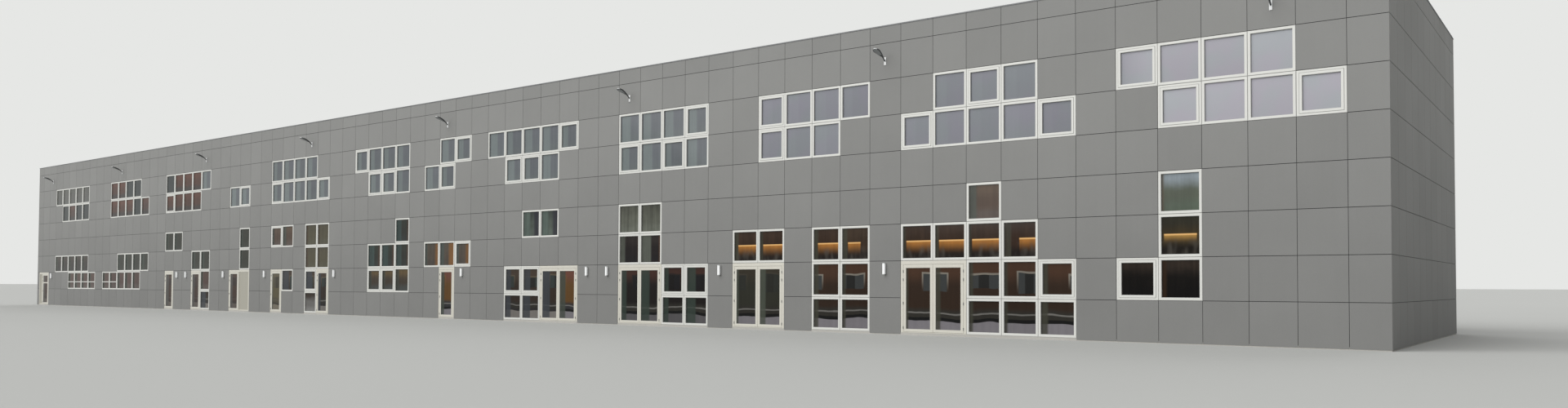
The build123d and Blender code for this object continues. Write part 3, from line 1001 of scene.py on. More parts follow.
class Shape:
    """Points and faces of a piece, gathered before its mesh is made."""

    def __init__(self) -> None:
        """Start with nothing."""
        self.points: list[Vector] = []
        self.faces: list[tuple[int, ...]] = []
        self.finishes: list[Finish] = []

    def loop(self, points: Iterable[Vector]) -> list[int]:
        """Add points and give back their numbers.

        Args:
            points: Points in their order round the loop.

        Returns:
            Their numbers.
        """
        first = len(self.points)
        self.points.extend(points)
        return list(range(first, len(self.points)))

    def face(self, numbers: Sequence[int], finish: Finish) -> None:
        """Add a face between points."""
        self.faces.append(tuple(numbers))
        self.finishes.append(finish)

    def band(self, here: Sequence[int], there: Sequence[int], finish: Finish) -> None:
        """Join two closed loops of as many points.

        Args:
            here: Numbers of one loop.
            there: Numbers of the other.
            finish: Finish of the band.
        """
        count = len(here)
        for k in range(count):
            after = (k + 1) % count
            self.face((here[k], here[after], there[after], there[k]), finish)

    def stack(self, loops: Sequence[Sequence[int]], finish: Finish) -> None:
        """Close a row of loops, with a band between neighbours and a face at each end.

        Args:
            loops: Numbers of each loop, from one end to the other.
            finish: Finish of all faces.
        """
        self.face(loops[0][::-1], finish)
        for here, there in zip(loops, loops[1:]):
            self.band(here, there, finish)
        self.face(loops[-1], finish)

    def frame(self, facade: Facade, outer: Area, inner: Area, section: Sequence[Corner]) -> None:
        """Carry a closed section round a rectangle, with mitred corners.

        Args:
            facade: Face that the frame lies on.
            outer: Rectangle round the frame.
            inner: Rectangle that it leaves open.
            section: Points of the section; the face after each has its finish.
        """
        loops = []
        for corner in section:
            area = (outer if corner.edge is Edge.OUTER else inner).inset(corner.step)
            loops.append(self.loop(facade.point(x, y, corner.height) for x, y in area.corners()))
        for corner, here, there in zip(section, loops, loops[1:] + loops[:1]):
            self.band(here, there, corner.finish)

    def plate(self, facade: Facade, area: Area, back: float, front: float, bevel: float,
              finish: Finish) -> None:
        """Add a plate with bevelled front edges.

        Args:
            facade: Face that the plate lies on.
            area: Its outline.
            back: Height of its back over the face.
            front: Height of its front.
            bevel: Width of the bevel.
            finish: Its finish.
        """
        rounds = ((0.0, back), (0.0, front - bevel), (bevel, front))
        self.stack([self.loop(facade.point(x, y, height) for x, y in area.inset(step).corners())
                    for step, height in rounds], finish)

    def turned(self, centre: Vector, axis: Vector, outline: Sequence[Range], sides: int,
               finish: Finish) -> None:
        """Turn an outline round an axis.

        Args:
            centre: Where the axis starts.
            axis: Its direction.
            outline: Radius and place along the axis, from one end to the other.
            sides: Faces round the axis.
            finish: Its finish.
        """
        axis = axis.normalized()
        first = axis.orthogonal().normalized()
        second = axis.cross(first)
        turns = [math.tau * k / sides for k in range(sides)]
        around = [first * math.cos(turn) + second * math.sin(turn) for turn in turns]
        self.stack([self.loop(centre + axis * along + out * radius for out in around)
                    for radius, along in outline], finish)

    def build(self, name: str, slot: str, body: str = "root",
              replaces: Sequence[str] = ()) -> None:
        """Make the piece and place it in the frame.

        Args:
            name: Name of the piece.
            slot: Material slot of the record; not used.
            body: Body that it rides on.
            replaces: Nodes of the frame that it stands for.
        """
        mesh = bpy.data.meshes.new(name)
        mesh.from_pydata([tuple(point) for point in self.points], [], self.faces)
        used = list(dict.fromkeys(self.finishes))
        for finish in used:
            mesh.materials.append(finish.material())
        mesh.polygons.foreach_set("material_index", [used.index(finish) for finish in self.finishes])
        faces = bmesh.new()
        faces.from_mesh(mesh)
        bmesh.ops.recalc_face_normals(faces, faces=faces.faces)
        faces.to_mesh(mesh)
        faces.free()
        mesh.shade_smooth()
        mesh.set_sharp_from_angle(angle=SMOOTH_ANGLE)
        piece = bpy.data.objects.new(name, mesh)
        bpy.context.scene.collection.objects.link(piece)
        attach(piece, body)
        if replaces:
            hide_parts(*replaces)
        LOG.info("%s: %d faces on %s", name, len(self.faces), body)


# First and last column of each group of window units, row by row
Groups = dict[int, list[tuple[int, int]]]
FRONT_WINDOWS: Groups = {
    0: [(7, 9), (13, 14), (19, 20), (27, 28), (42, 42), (52, 52)],
    1: [(4, 5), (7, 9), (13, 14), (19, 20), (27, 28), (35, 37), (42, 42), (44, 44), (52, 52),
        (60, 64), (66, 69)],
    2: [(4, 4), (8, 11), (13, 14), (16, 17), (21, 22), (31, 33), (35, 37), (41, 42), (48, 48),
        (52, 53), (59, 62), (67, 71)],
    3: [(4, 4), (9, 9), (21, 22), (26, 27), (35, 35), (41, 42), (44, 45), (48, 48), (55, 56)],
    5: [(1, 4), (7, 11), (14, 16), (19, 22), (26, 28), (32, 33), (35, 37), (41, 45), (48, 49),
        (53, 56), (59, 63), (67, 70)],
    6: [(2, 5), (8, 10), (13, 16), (19, 22), (25, 29), (31, 32), (35, 38), (42, 45), (52, 56),
        (60, 63), (67, 71)],
}
# Row and column of the units that open, and of those with a bar
SASHES = {
    (1, 5), (1, 7), (1, 19), (1, 20), (1, 27), (1, 28), (1, 36), (1, 37), (1, 42), (2, 31), (3, 45),
    (5, 1), (5, 4), (5, 7), (5, 11), (5, 16), (5, 20), (5, 22), (5, 27), (5, 28), (5, 32), (5, 36),
    (5, 37), (5, 41), (5, 45), (5, 48), (5, 56),
    (6, 5), (6, 9), (6, 16), (6, 19), (6, 25), (6, 31), (6, 38),
}
BARRED = {(1, 63), (1, 64), (1, 66), (1, 67), (1, 68), (1, 69)}
LOWER_ROWS, UPPER_ROWS, BACK_ROWS = (0, 1, 2, 3), (5, 6), (2, 3, 5, 6)
BACK_STARTS, BACK_WIDTH = range(4, 68, 9), 4
BACK_WINDOWS: Groups = {
    row: [(first, first + BACK_WIDTH - 1) for first in BACK_STARTS] for row in BACK_ROWS
}
WINDOWS = {FRONT: FRONT_WINDOWS, BACK: BACK_WINDOWS}


def span(row: int, first: int, last: int) -> set[tuple[int, int]]:
    """Row and column of each unit from the first column to the last."""
    return {(row, column) for column in range(first, last + 1)}


# Looks of single units of the front, and of the others in each row
FRONT_OUTLOOKS = {
    Outlook.LAMP: span(2, 9, 11) | span(2, 14, 17),
    Outlook.LAMP_RIGHT: span(2, 8, 8),
    Outlook.LAMP_SHORT: span(2, 13, 13),
    Outlook.LAMP_YELLOW: span(2, 4, 4),
    Outlook.BLACK: span(1, 4, 5),
    Outlook.BLIND: span(3, 4, 4),
    Outlook.DARK_LOWER: span(0, 19, 20) | span(1, 19, 20),
    Outlook.NIGHT: span(2, 21, 22),
    Outlook.DRAPE: span(3, 21, 22),
    Outlook.CURTAIN: span(3, 26, 27),
    Outlook.PALE_FOOT: span(0, 42, 42),
    Outlook.SLATE_LOWER: span(0, 27, 28) | span(0, 52, 52) | span(1, 27, 28) | span(1, 42, 44),
    Outlook.WARM: span(2, 31, 33),
    Outlook.EMBER: span(1, 35, 37),
    Outlook.BROWN: span(3, 9, 9) | span(3, 44, 45),
    Outlook.OLIVE: span(2, 41, 42) | span(3, 41, 42),
    Outlook.GREEN: span(2, 35, 37) | span(3, 35, 35),
    Outlook.MOSS: span(3, 48, 56) | span(2, 48, 62),
    Outlook.WINE: span(1, 52, 69),
    Outlook.DUSK: span(6, 67, 71),
    Outlook.RUSSET: span(5, 53, 70) | span(6, 53, 63),
}
FRONT_ROWS = {0: Outlook.LOWER, 1: Outlook.LOWER, 2: Outlook.SHADE, 3: Outlook.SHADE,
              5: Outlook.UPPER, 6: Outlook.UPPER}
BACK_LOOKS = {2: Outlook.SHADE, 3: Outlook.SHADE, 5: Outlook.DUSK, 6: Outlook.DUSK}


def outlook(row: int, column: int, facade: Facade) -> Outlook:
    """What shows in the pane of one window unit.

    Args:
        row: Row of the unit, from the ground.
        column: Its column, from the right.
        facade: Face that it lies on.

    Returns:
        The look.
    """
    if facade is BACK:
        return BACK_LOOKS[row]
    for look, units in FRONT_OUTLOOKS.items():
        if (row, column) in units:
            return look
    return FRONT_ROWS[row]


@dataclass(frozen=True)
class Doorway:
    """A door unit of the front, between two grid lines counted from the right."""

    letter: str
    right_joint: float
    left_joint: float
    leaves: tuple[str, ...] = ("",)
    looks: tuple[Outlook, ...] = (Outlook.WINE_LOWER,)
    panel_right: float = 0.0
    panel_left: float = 0.0
    transom: bool = False

    def bodies(self) -> list[str]:
        """Names of the bodies that are its leaves, from the left."""
        return [f"door_{self.letter}" + (f"_{side}" if side else "") for side in self.leaves]


PAIR = ("left", "right")
DOORWAYS = [
    Doorway("a", 10, 12, PAIR, (Outlook.LOWER, Outlook.LOWER)),
    Doorway("b", 16, 18, PAIR, (Outlook.GREEN_LOWER, Outlook.GREEN_LOWER)),
    Doorway("c", 21, 23, PAIR, (Outlook.DARK_LOWER, Outlook.DARK_LOWER)),
    Doorway("d", 25, 27, PAIR, (Outlook.SLATE_LOWER, Outlook.AMBER_LOWER)),
    Doorway("e", 32, 33, looks=(Outlook.AMBER_LOWER,)),
    Doorway("f", 41, 42, looks=(Outlook.SLATE_LOWER,)),
    Doorway("g", 45, 46, looks=(Outlook.OLIVE_LOWER,)),
    Doorway("h", 48, 50, panel_right=1),
    Doorway("i", 53, 54),
    Doorway("j", 56, 57),
    Doorway("k", 73, 74.5, panel_left=0.5, transom=True),
]


@dataclass
class Cladding:
    """Square panels with open joints, cell by cell, on all four faces."""

    thickness: float = 1 * MM
    joint: float = 1.2 * MM
    row_joint: float = 1.6 * MM
    bevel: float = 0.2 * MM
    foot: float = 3 * MM
    coping: float = 4 * MM

    def row_edges(self, row: int) -> Range:
        """Lower and upper edge of a row of panels.

        Args:
            row: Row from the ground.

        Returns:
            The two heights.
        """
        half = self.row_joint / 2
        low = self.foot if row == 0 else row * GRID.module + half
        high = GRID.height - self.coping if row == GRID.rows else (row + 1) * GRID.module - half
        return low, high

    def long_columns(self) -> Iterator[Range]:
        """Left and right edge of each column of the front or back.

        Returns:
            The edges, from the right-hand column on.
        """
        half = self.joint / 2
        yield GRID.joint_x(1) + half, GRID.length / 2
        for column in range(1, GRID.columns + 1):
            yield GRID.joint_x(column + 1) + half, GRID.joint_x(column) - half
        yield -GRID.length / 2, GRID.joint_x(GRID.columns + 1) - half

    def end_columns(self) -> Iterator[Range]:
        """Left and right edge of each column of an end wall.

        Returns:
            The edges, from the left-hand column on.
        """
        half, last = self.joint / 2, GRID.depth_columns - 1
        for column in range(GRID.depth_columns):
            left = -GRID.depth / 2 + column * GRID.module
            yield (left + (self.thickness if column == 0 else half),
                   left + GRID.module - (self.thickness if column == last else half))

    def cuts(self, facade: Facade, row: int) -> list[Range]:
        """Stretches of a row that are glazed or a doorway.

        Args:
            facade: Front or back.
            row: Row from the ground.

        Returns:
            Left and right edge of each stretch.
        """
        joints = [(last + 1, first) for first, last in WINDOWS[facade].get(row, [])]
        if facade is FRONT and row < GRID.door_rows:
            joints += [(door.left_joint, door.right_joint) for door in DOORWAYS]
        return [(GRID.joint_x(left), GRID.joint_x(right)) for left, right in joints]

    def panel(self, shape: Shape, facade: Facade, area: Area) -> None:
        """Add one panel to a piece."""
        shape.plate(facade, area, -self.thickness, 0.0, self.bevel, PANELLING)

    def long_face(self, facade: Facade) -> Shape:
        """Panels of the front or the back, cut short beside glazed stretches and doorways.

        Args:
            facade: Front or back.

        Returns:
            The gathered panels.
        """
        shape = Shape()
        for row in range(GRID.rows + 1):
            low, high = self.row_edges(row)
            cuts = self.cuts(facade, row)
            for left, right in self.long_columns():
                for cut_left, cut_right in cuts:
                    if cut_left <= left and right <= cut_right:
                        left = right
                    elif left < cut_left < right:
                        right = cut_left - self.joint / 2
                    elif left < cut_right < right:
                        left = cut_right + self.joint / 2
                if right > left:
                    self.panel(shape, facade, Area(left, right, low, high))
        return shape

    def end_faces(self) -> Shape:
        """Panels of both end walls.

        Returns:
            The gathered panels.
        """
        shape = Shape()
        for facade in (RIGHT, LEFT):
            for row in range(GRID.rows + 1):
                for left, right in self.end_columns():
                    self.panel(shape, facade, Area(left, right, *self.row_edges(row)))
        return shape

    def build(self) -> None:
        """Make the three pieces."""
        self.long_face(FRONT).build("front_panels", "cladding", replaces=["front_cladding"])
        self.long_face(BACK).build("back_panels", "cladding", replaces=["back_cladding"])
        self.end_faces().build("end_panels", "cladding", replaces=["end_cladding"])


@dataclass
class Windows:
    """Window units with mitred frames, a hairline between neighbours, and their panes."""

    back: float = -5.5 * MM
    strip: float = -1.1 * MM
    front: float = -0.5 * MM
    lap: float = 0.6 * MM
    bevel: float = 0.4 * MM
    face: float = 8.5 * MM
    gasket: float = 0.6 * MM
    rebate: float = -4.2 * MM
    outer_face: float = 7.3 * MM
    outer_front: float = -1.0 * MM
    sash_front: float = -0.3 * MM
    sash_gap: float = 0.35 * MM
    sash_face: float = 15 * MM
    bar: float = 6 * MM
    bar_up: float = 0.41
    pane: float = 2.4 * MM
    margin: float = 0.3 * MM

    def section(self, front: float, lap: float, gasket: float) -> list[Corner]:
        """Section of a frame.

        Args:
            front: Height of its face.
            lap: Width of the sunk strip round it, or 0.
            gasket: Width of the gasket that shows at the glass, or 0.

        Returns:
            The section's corners, outside edge first.
        """
        # The outer side and the sunk strip are grey: painted shade in the hairline between units.
        section = [Corner(Edge.OUTER, 0.0, self.back, FRAME_GAP_SHADE)]
        if lap:
            section += [Corner(Edge.OUTER, 0.0, self.strip, FRAME_GAP_SHADE),
                        Corner(Edge.OUTER, lap, self.strip, FRAME_WHITE)]
        section += [
            Corner(Edge.OUTER, lap, front - self.bevel, FRAME_WHITE),
            Corner(Edge.OUTER, lap + self.bevel, front, FRAME_WHITE),
            Corner(Edge.INNER, -2 * self.bevel, front, FRAME_WHITE),
            Corner(Edge.INNER, 0.0, front - 2 * self.bevel, FRAME_WHITE),
        ]
        if gasket:
            section += [Corner(Edge.INNER, 0.0, self.rebate, GASKET),
                        Corner(Edge.INNER, gasket, self.rebate, GASKET)]
        section.append(Corner(Edge.INNER, gasket, self.back, FRAME_WHITE))
        return section

    def unit(self, shape: Shape, facade: Facade, area: Area, opens: bool, barred: bool) -> None:
        """Add the frame of one window unit.

        Args:
            shape: Piece to add it to.
            facade: Face that it lies on.
            area: Its cell of the grid.
            opens: True for a frame with a sash.
            barred: True for a bar across the pane.
        """
        outer = area.inset(self.margin)
        if opens:
            frame_inner = area.inset(self.outer_face)
            shape.frame(facade, outer, frame_inner, self.section(self.outer_front, self.lap, 0.0))
            shape.frame(facade, frame_inner.inset(self.sash_gap), area.inset(self.sash_face),
                        self.section(self.sash_front, 0.0, self.gasket))
            return
        inner = area.inset(self.face)
        shape.frame(facade, outer, inner, self.section(self.front, self.lap, self.gasket))
        if barred:
            bar = inner.bar(inner.level(self.bar_up), self.bar)
            shape.plate(facade, bar, self.rebate, self.front - self.bevel, self.bevel, FRAME_WHITE)

    def units(self, facade: Facade, rows: Sequence[int]) -> Iterator[tuple[int, int]]:
        """Row and column of each unit in some rows of a face.

        Args:
            facade: Front or back.
            rows: Rows from the ground.

        Returns:
            The places, one unit after another.
        """
        for row in rows:
            for first, last in WINDOWS[facade].get(row, []):
                for column in range(first, last + 1):
                    yield row, column

    def frames(self, facade: Facade, rows: Sequence[int]) -> Shape:
        """Frames of the units in some rows of a face.

        Args:
            facade: Front or back.
            rows: Rows from the ground.

        Returns:
            The gathered frames.
        """
        shape = Shape()
        for unit in self.units(facade, rows):
            opens, barred = (facade is FRONT and unit in group for group in (SASHES, BARRED))
            self.unit(shape, facade, GRID.unit(*unit), opens, barred)
        return shape

    def panes(self, facade: Facade) -> Shape:
        """Panes behind all frames of a face.

        Args:
            facade: Front or back.

        Returns:
            The gathered panes.
        """
        shape = Shape()
        for row, column in self.units(facade, sorted(WINDOWS[facade])):
            area = GRID.unit(row, column).inset(self.margin)
            look = outlook(row, column, facade)
            shape.plate(facade, area, self.back - self.pane, self.back, self.margin, look.value)
        return shape

    def build(self) -> None:
        """Make the frames and panes of both long faces."""
        for name, facade, rows, node in (
                ("front_lower_frames", FRONT, LOWER_ROWS, "front_ground_windows"),
                ("front_upper_frames", FRONT, UPPER_ROWS, "front_upper_windows"),
                ("back_frames", BACK, BACK_ROWS, "back_windows")):
            self.frames(facade, rows).build(name, "frames", replaces=[node])
        self.panes(FRONT).build("front_panes", "window_glass", replaces=["front_glass"])
        self.panes(BACK).build("back_panes", "window_glass", replaces=["back_glass"])


@dataclass
class Doors:
    """Door units: posts, head and threshold in the wall, and leaves that ride on their bodies."""

    gap: float = 0.5 * MM
    front: float = -0.5 * MM
    depth: float = 9 * MM
    jamb: float = 10 * MM
    head: float = 12 * MM
    threshold: float = 2.5 * MM
    bevel: float = 0.5 * MM
    leaf_depth: float = 6 * MM
    stile: float = 10.5 * MM
    top_rail: float = 11.5 * MM
    bottom_rail: float = 9.5 * MM
    transom_height: float = 160 * MM
    transom_face: float = 8 * MM
    glass: float = 2.4 * MM
    gasket: float = 0.6 * MM
    panel_depth: float = 3 * MM
    bead: float = 2 * MM
    knuckle_radius: float = 1.1 * MM
    knuckle_height: float = 9 * MM
    knuckle_gap: float = 0.3 * MM
    knuckle_tip: float = 0.33 * MM
    knuckle_sides: int = 12
    hinge_shares: tuple[float, ...] = (0.06, 0.425, 0.775, 0.90)
    joints: dict[str, dict] = field(default_factory=dict)

    @property
    def foot(self) -> float:
        """Upper side of the thresholds."""
        return GRID.ground_slab + self.threshold

    @property
    def under(self) -> float:
        """Underside of the heads."""
        return GRID.door_rows * GRID.module - self.gap - self.head

    @property
    def glass_front(self) -> float:
        """Height of the glass over the face of the building."""
        return self.front - (self.leaf_depth - self.glass) / 2

    def unit(self, door: Doorway) -> Range:
        """Left and right side of a whole unit."""
        return GRID.joint_x(door.left_joint) + self.gap, GRID.joint_x(door.right_joint) - self.gap

    def bay(self, door: Doorway) -> Range:
        """Left and right side of the part of a unit that its leaves close."""
        left, right = self.unit(door)
        return left + door.panel_left * GRID.module, right - door.panel_right * GRID.module

    def surround(self, shape: Shape, door: Doorway) -> None:
        """Add the posts, head and threshold of one unit.

        Args:
            shape: Piece to add them to.
            door: The unit.
        """
        left, right = self.unit(door)
        bay = self.bay(door)
        areas = [Area(left, right, self.under, self.under + self.head),
                 Area(left, right, GRID.ground_slab, self.foot)]
        for edge in sorted({left, right, *bay}):
            inward = self.jamb if edge < sum(bay) / 2 else -self.jamb
            areas.append(Area(min(edge, edge + inward), max(edge, edge + inward), self.foot, self.under))
        for area in areas:
            shape.plate(FRONT, area, self.front - self.depth, self.front, self.bevel, DOOR_CREAM)

    def closed_panel(self, shape: Shape, door: Doorway) -> None:
        """Add the closed panel beside the leaves of one unit, in its bead.

        Args:
            shape: Piece to add it to.
            door: The unit.
        """
        left, right = self.unit(door)
        bay_left, bay_right = self.bay(door)
        edges = (bay_right, right - self.jamb) if door.panel_right else (left + self.jamb, bay_left)
        area = Area(*edges, self.foot, self.under)
        front, half = self.front - self.panel_depth, self.panel_depth / 2
        shape.plate(FRONT, area, front - self.panel_depth, front, self.bevel, PANEL_CREAM)
        face = front + self.bevel
        section = [
            Corner(Edge.OUTER, 0.0, face - half, DOOR_CREAM),
            Corner(Edge.OUTER, 0.0, face, DOOR_CREAM),
            Corner(Edge.INNER, 0.0, face - self.bevel / 2, DOOR_CREAM),
            Corner(Edge.INNER, 0.0, face - half, DOOR_CREAM),
        ]
        shape.frame(FRONT, area, area.inset(self.bead), section)

    def leaf_section(self) -> list[Corner]:
        """Section of a leaf's frame.

        Returns:
            The section's corners, outside edge first.
        """
        back = self.front - self.leaf_depth
        return [
            Corner(Edge.OUTER, self.bevel, back, DOOR_CREAM),
            Corner(Edge.OUTER, 0.0, back + self.bevel, DOOR_CREAM),
            Corner(Edge.OUTER, 0.0, self.front - self.bevel, DOOR_CREAM),
            Corner(Edge.OUTER, self.bevel, self.front, DOOR_CREAM),
            Corner(Edge.INNER, -self.bevel, self.front, DOOR_CREAM),
            Corner(Edge.INNER, 0.0, self.front - self.bevel, GASKET),
            Corner(Edge.INNER, self.gasket, self.glass_front, GASKET),
            Corner(Edge.INNER, self.gasket, self.glass_front - self.glass, GASKET),
            Corner(Edge.INNER, 0.0, back + self.bevel, DOOR_CREAM),
            Corner(Edge.INNER, -self.bevel, back, DOOR_CREAM),
        ]

    def hinges(self, shape: Shape, body: str, leaf: Area) -> None:
        """Add the knuckles of a leaf's hinges, on the hinge line.

        Args:
            shape: Piece to add them to.
            body: Body of the leaf in the frame.
            leaf: Outline of the leaf.
        """
        x, y, _ = self.joints[body]["pos_m"]
        radius, half = self.knuckle_radius, self.knuckle_height / 2
        tip, gap = self.knuckle_tip, self.knuckle_gap
        outline = [(radius - tip, -half), (radius, -half + tip), (radius, -gap), (radius - tip, 0.0),
                   (radius, gap), (radius, half - tip), (radius - tip, half)]
        for share in self.hinge_shares:
            centre = Vector((x, y, leaf.level(share)))
            shape.turned(centre, Vector(FRONT.up), outline, self.knuckle_sides, HINGE_STEEL)

    def leaf(self, door: Doorway, body: str, look: Outlook) -> None:
        """Make one leaf and its glass.

        Args:
            door: The unit that it hangs in.
            body: Its body in the frame.
            look: What shows in its glass.
        """
        low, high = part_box(f"{body}_leaf")
        leaf = Area(low.x, high.x, low.z, high.z)
        inner = Area(leaf.left + self.stile, leaf.right - self.stile,
                     leaf.bottom + self.bottom_rail, leaf.top - self.top_rail)
        shape = Shape()
        shape.frame(FRONT, leaf, inner, self.leaf_section())
        if door.transom:
            bar = inner.bar(leaf.bottom + self.transom_height, self.transom_face)
            back, front = self.front - self.leaf_depth + self.bevel, self.front - self.bevel
            shape.plate(FRONT, bar, back, front, self.bevel, DOOR_CREAM)
        self.hinges(shape, body, leaf)
        shape.build(f"{body}_frame", "frames", body, [f"{body}_leaf"])
        pane = Shape()
        back, front = self.glass_front - self.glass, self.glass_front
        pane.plate(FRONT, inner, back, front, self.gasket / 2, look.value)
        pane.build(f"{body}_pane", "window_glass", body, [f"{body}_glass"])

    def build(self) -> None:
        """Make all door units."""
        surrounds, panels = Shape(), Shape()
        for door in DOORWAYS:
            self.surround(surrounds, door)
            if door.panel_left or door.panel_right:
                self.closed_panel(panels, door)
        surrounds.build("door_surrounds", "frames", replaces=["door_posts", "door_heads_and_thresholds"])
        panels.build("door_closed_panels", "side_panels", replaces=["door_side_panels"])
        for door in DOORWAYS:
            for body, look in zip(door.bodies(), door.looks):
                self.leaf(door, body, look)


@dataclass
class Roof:
    """Coping in lengths over the parapet, and strips of felt inside it."""

    width: float = 37 * MM
    overhang: float = 1.5 * MM
    height: float = 4 * MM
    gap: float = 0.6 * MM
    lengths: int = 37
    end_lengths: int = 5
    bevel: float = 0.6 * MM
    strip: float = 100 * MM
    lap: float = 8 * MM
    sunk: float = 0.5 * MM
    felt_start: float = 0.9 * MM
    felt_end: float = 0.3 * MM

    def pieces(self, reach: float, count: int) -> list[Range]:
        """Start and end of the equal lengths that cover a reach to both sides of the middle.

        Args:
            reach: How far they reach to each side.
            count: Number of lengths.

        Returns:
            Start and end of each length.
        """
        step = 2 * reach / count
        starts = [-reach + k * step + self.gap / 2 for k in range(count)]
        return [(start, start + step - self.gap) for start in starts]

    def coping(self) -> Shape:
        """Lengths of coping along all four edges.

        Returns:
            The gathered lengths.
        """
        shape = Shape()
        long, deep = GRID.length / 2 + self.overhang, GRID.depth / 2 + self.overhang
        lengths, ends = [], []
        for side in (-1, 1):
            near, far = sorted((side * deep, side * (deep - self.width)))
            lengths += [Area(*piece, near, far) for piece in self.pieces(long, self.lengths)]
            left, right = sorted((side * long, side * (long - self.width)))
            ends += [Area(left, right, *piece)
                     for piece in self.pieces(deep - self.width - self.gap, self.end_lengths)]
        # The end lengths take the darker finish: painted shade.
        for areas, finish in ((lengths, COPING_GREY), (ends, COPING_PAINTED_SHADE)):
            for area in areas:
                shape.plate(ABOVE, area, GRID.height - self.height, GRID.height, self.bevel, finish)
        return shape

    def felting(self) -> Shape:
        """Strips of felt across the roof, each lapped over the one before.

        Returns:
            The gathered strips.
        """
        low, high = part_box("roof_covering")
        shape = Shape()
        count = round((high.x - low.x) / self.strip)
        step = (high.x - low.x) / count
        foot = high.z - self.sunk
        for k in range(count):
            left = low.x + k * step
            right = min(left + step + self.lap, high.x)
            outline = ((left, low.y, self.felt_start), (right, low.y, self.felt_end),
                       (right, high.y, self.felt_end), (left, high.y, self.felt_start))
            top = shape.loop(Vector((x, y, foot + thickness)) for x, y, thickness in outline)
            under = shape.loop(Vector((x, y, foot)) for x, y, _ in outline)
            shape.face(top, FELT)
            shape.face(under[::-1], FELT)
            shape.band(under, top, FELT)
        return shape

    def build(self) -> None:
        """Make the coping and the felt."""
        self.coping().build("coping_lengths", "coping_metal", replaces=["coping"])
        self.felting().build("felt_strips", "roofing")


@dataclass
class WallLights:
    """Upright opal cylinders with end caps, held off the wall by a back box."""

    columns: tuple[float, ...] = (12.5, 18.5, 23.5, 24.5, 31.5, 40.5, 46.5, 50.5, 54.5, 55.5, 72.5)
    radius: float = 5.4 * MM
    height: float = 39 * MM
    standoff: float = 1 * MM
    box: float = 6 * MM
    middle: float = 223.5 * MM
    cap: float = 2.5 * MM
    rim: float = 0.6 * MM
    sides: int = 28

    def build(self) -> None:
        """Make all of them as one piece."""
        shape = Shape()
        half, radius = self.height / 2, self.radius
        body = radius - self.rim / 2
        opal = [(body, -half + self.cap), (body, half - self.cap)]
        lower = [(radius - self.rim, -half), (radius, -half + self.rim), (radius, -half + self.cap)]
        upper = [(radius, half - self.cap), (radius, half - self.rim), (radius - self.rim, half)]
        for column in self.columns:
            x = GRID.joint_x(column)
            centre = FRONT.point(x, self.middle, self.standoff + radius)
            for outline, finish in ((opal, LAMP_OPAL), (lower, LAMP_PLATE), (upper, LAMP_PLATE)):
                shape.turned(centre, Vector(FRONT.up), outline, self.sides, finish)
            box = Area.around(x, self.middle, self.box, self.height - 2 * self.cap)
            shape.plate(FRONT, box, 0.0, self.standoff + self.rim, self.rim / 2, LAMP_PLATE)
        shape.build("wall_lamps", "wall_lights", replaces=["wall_lights"])


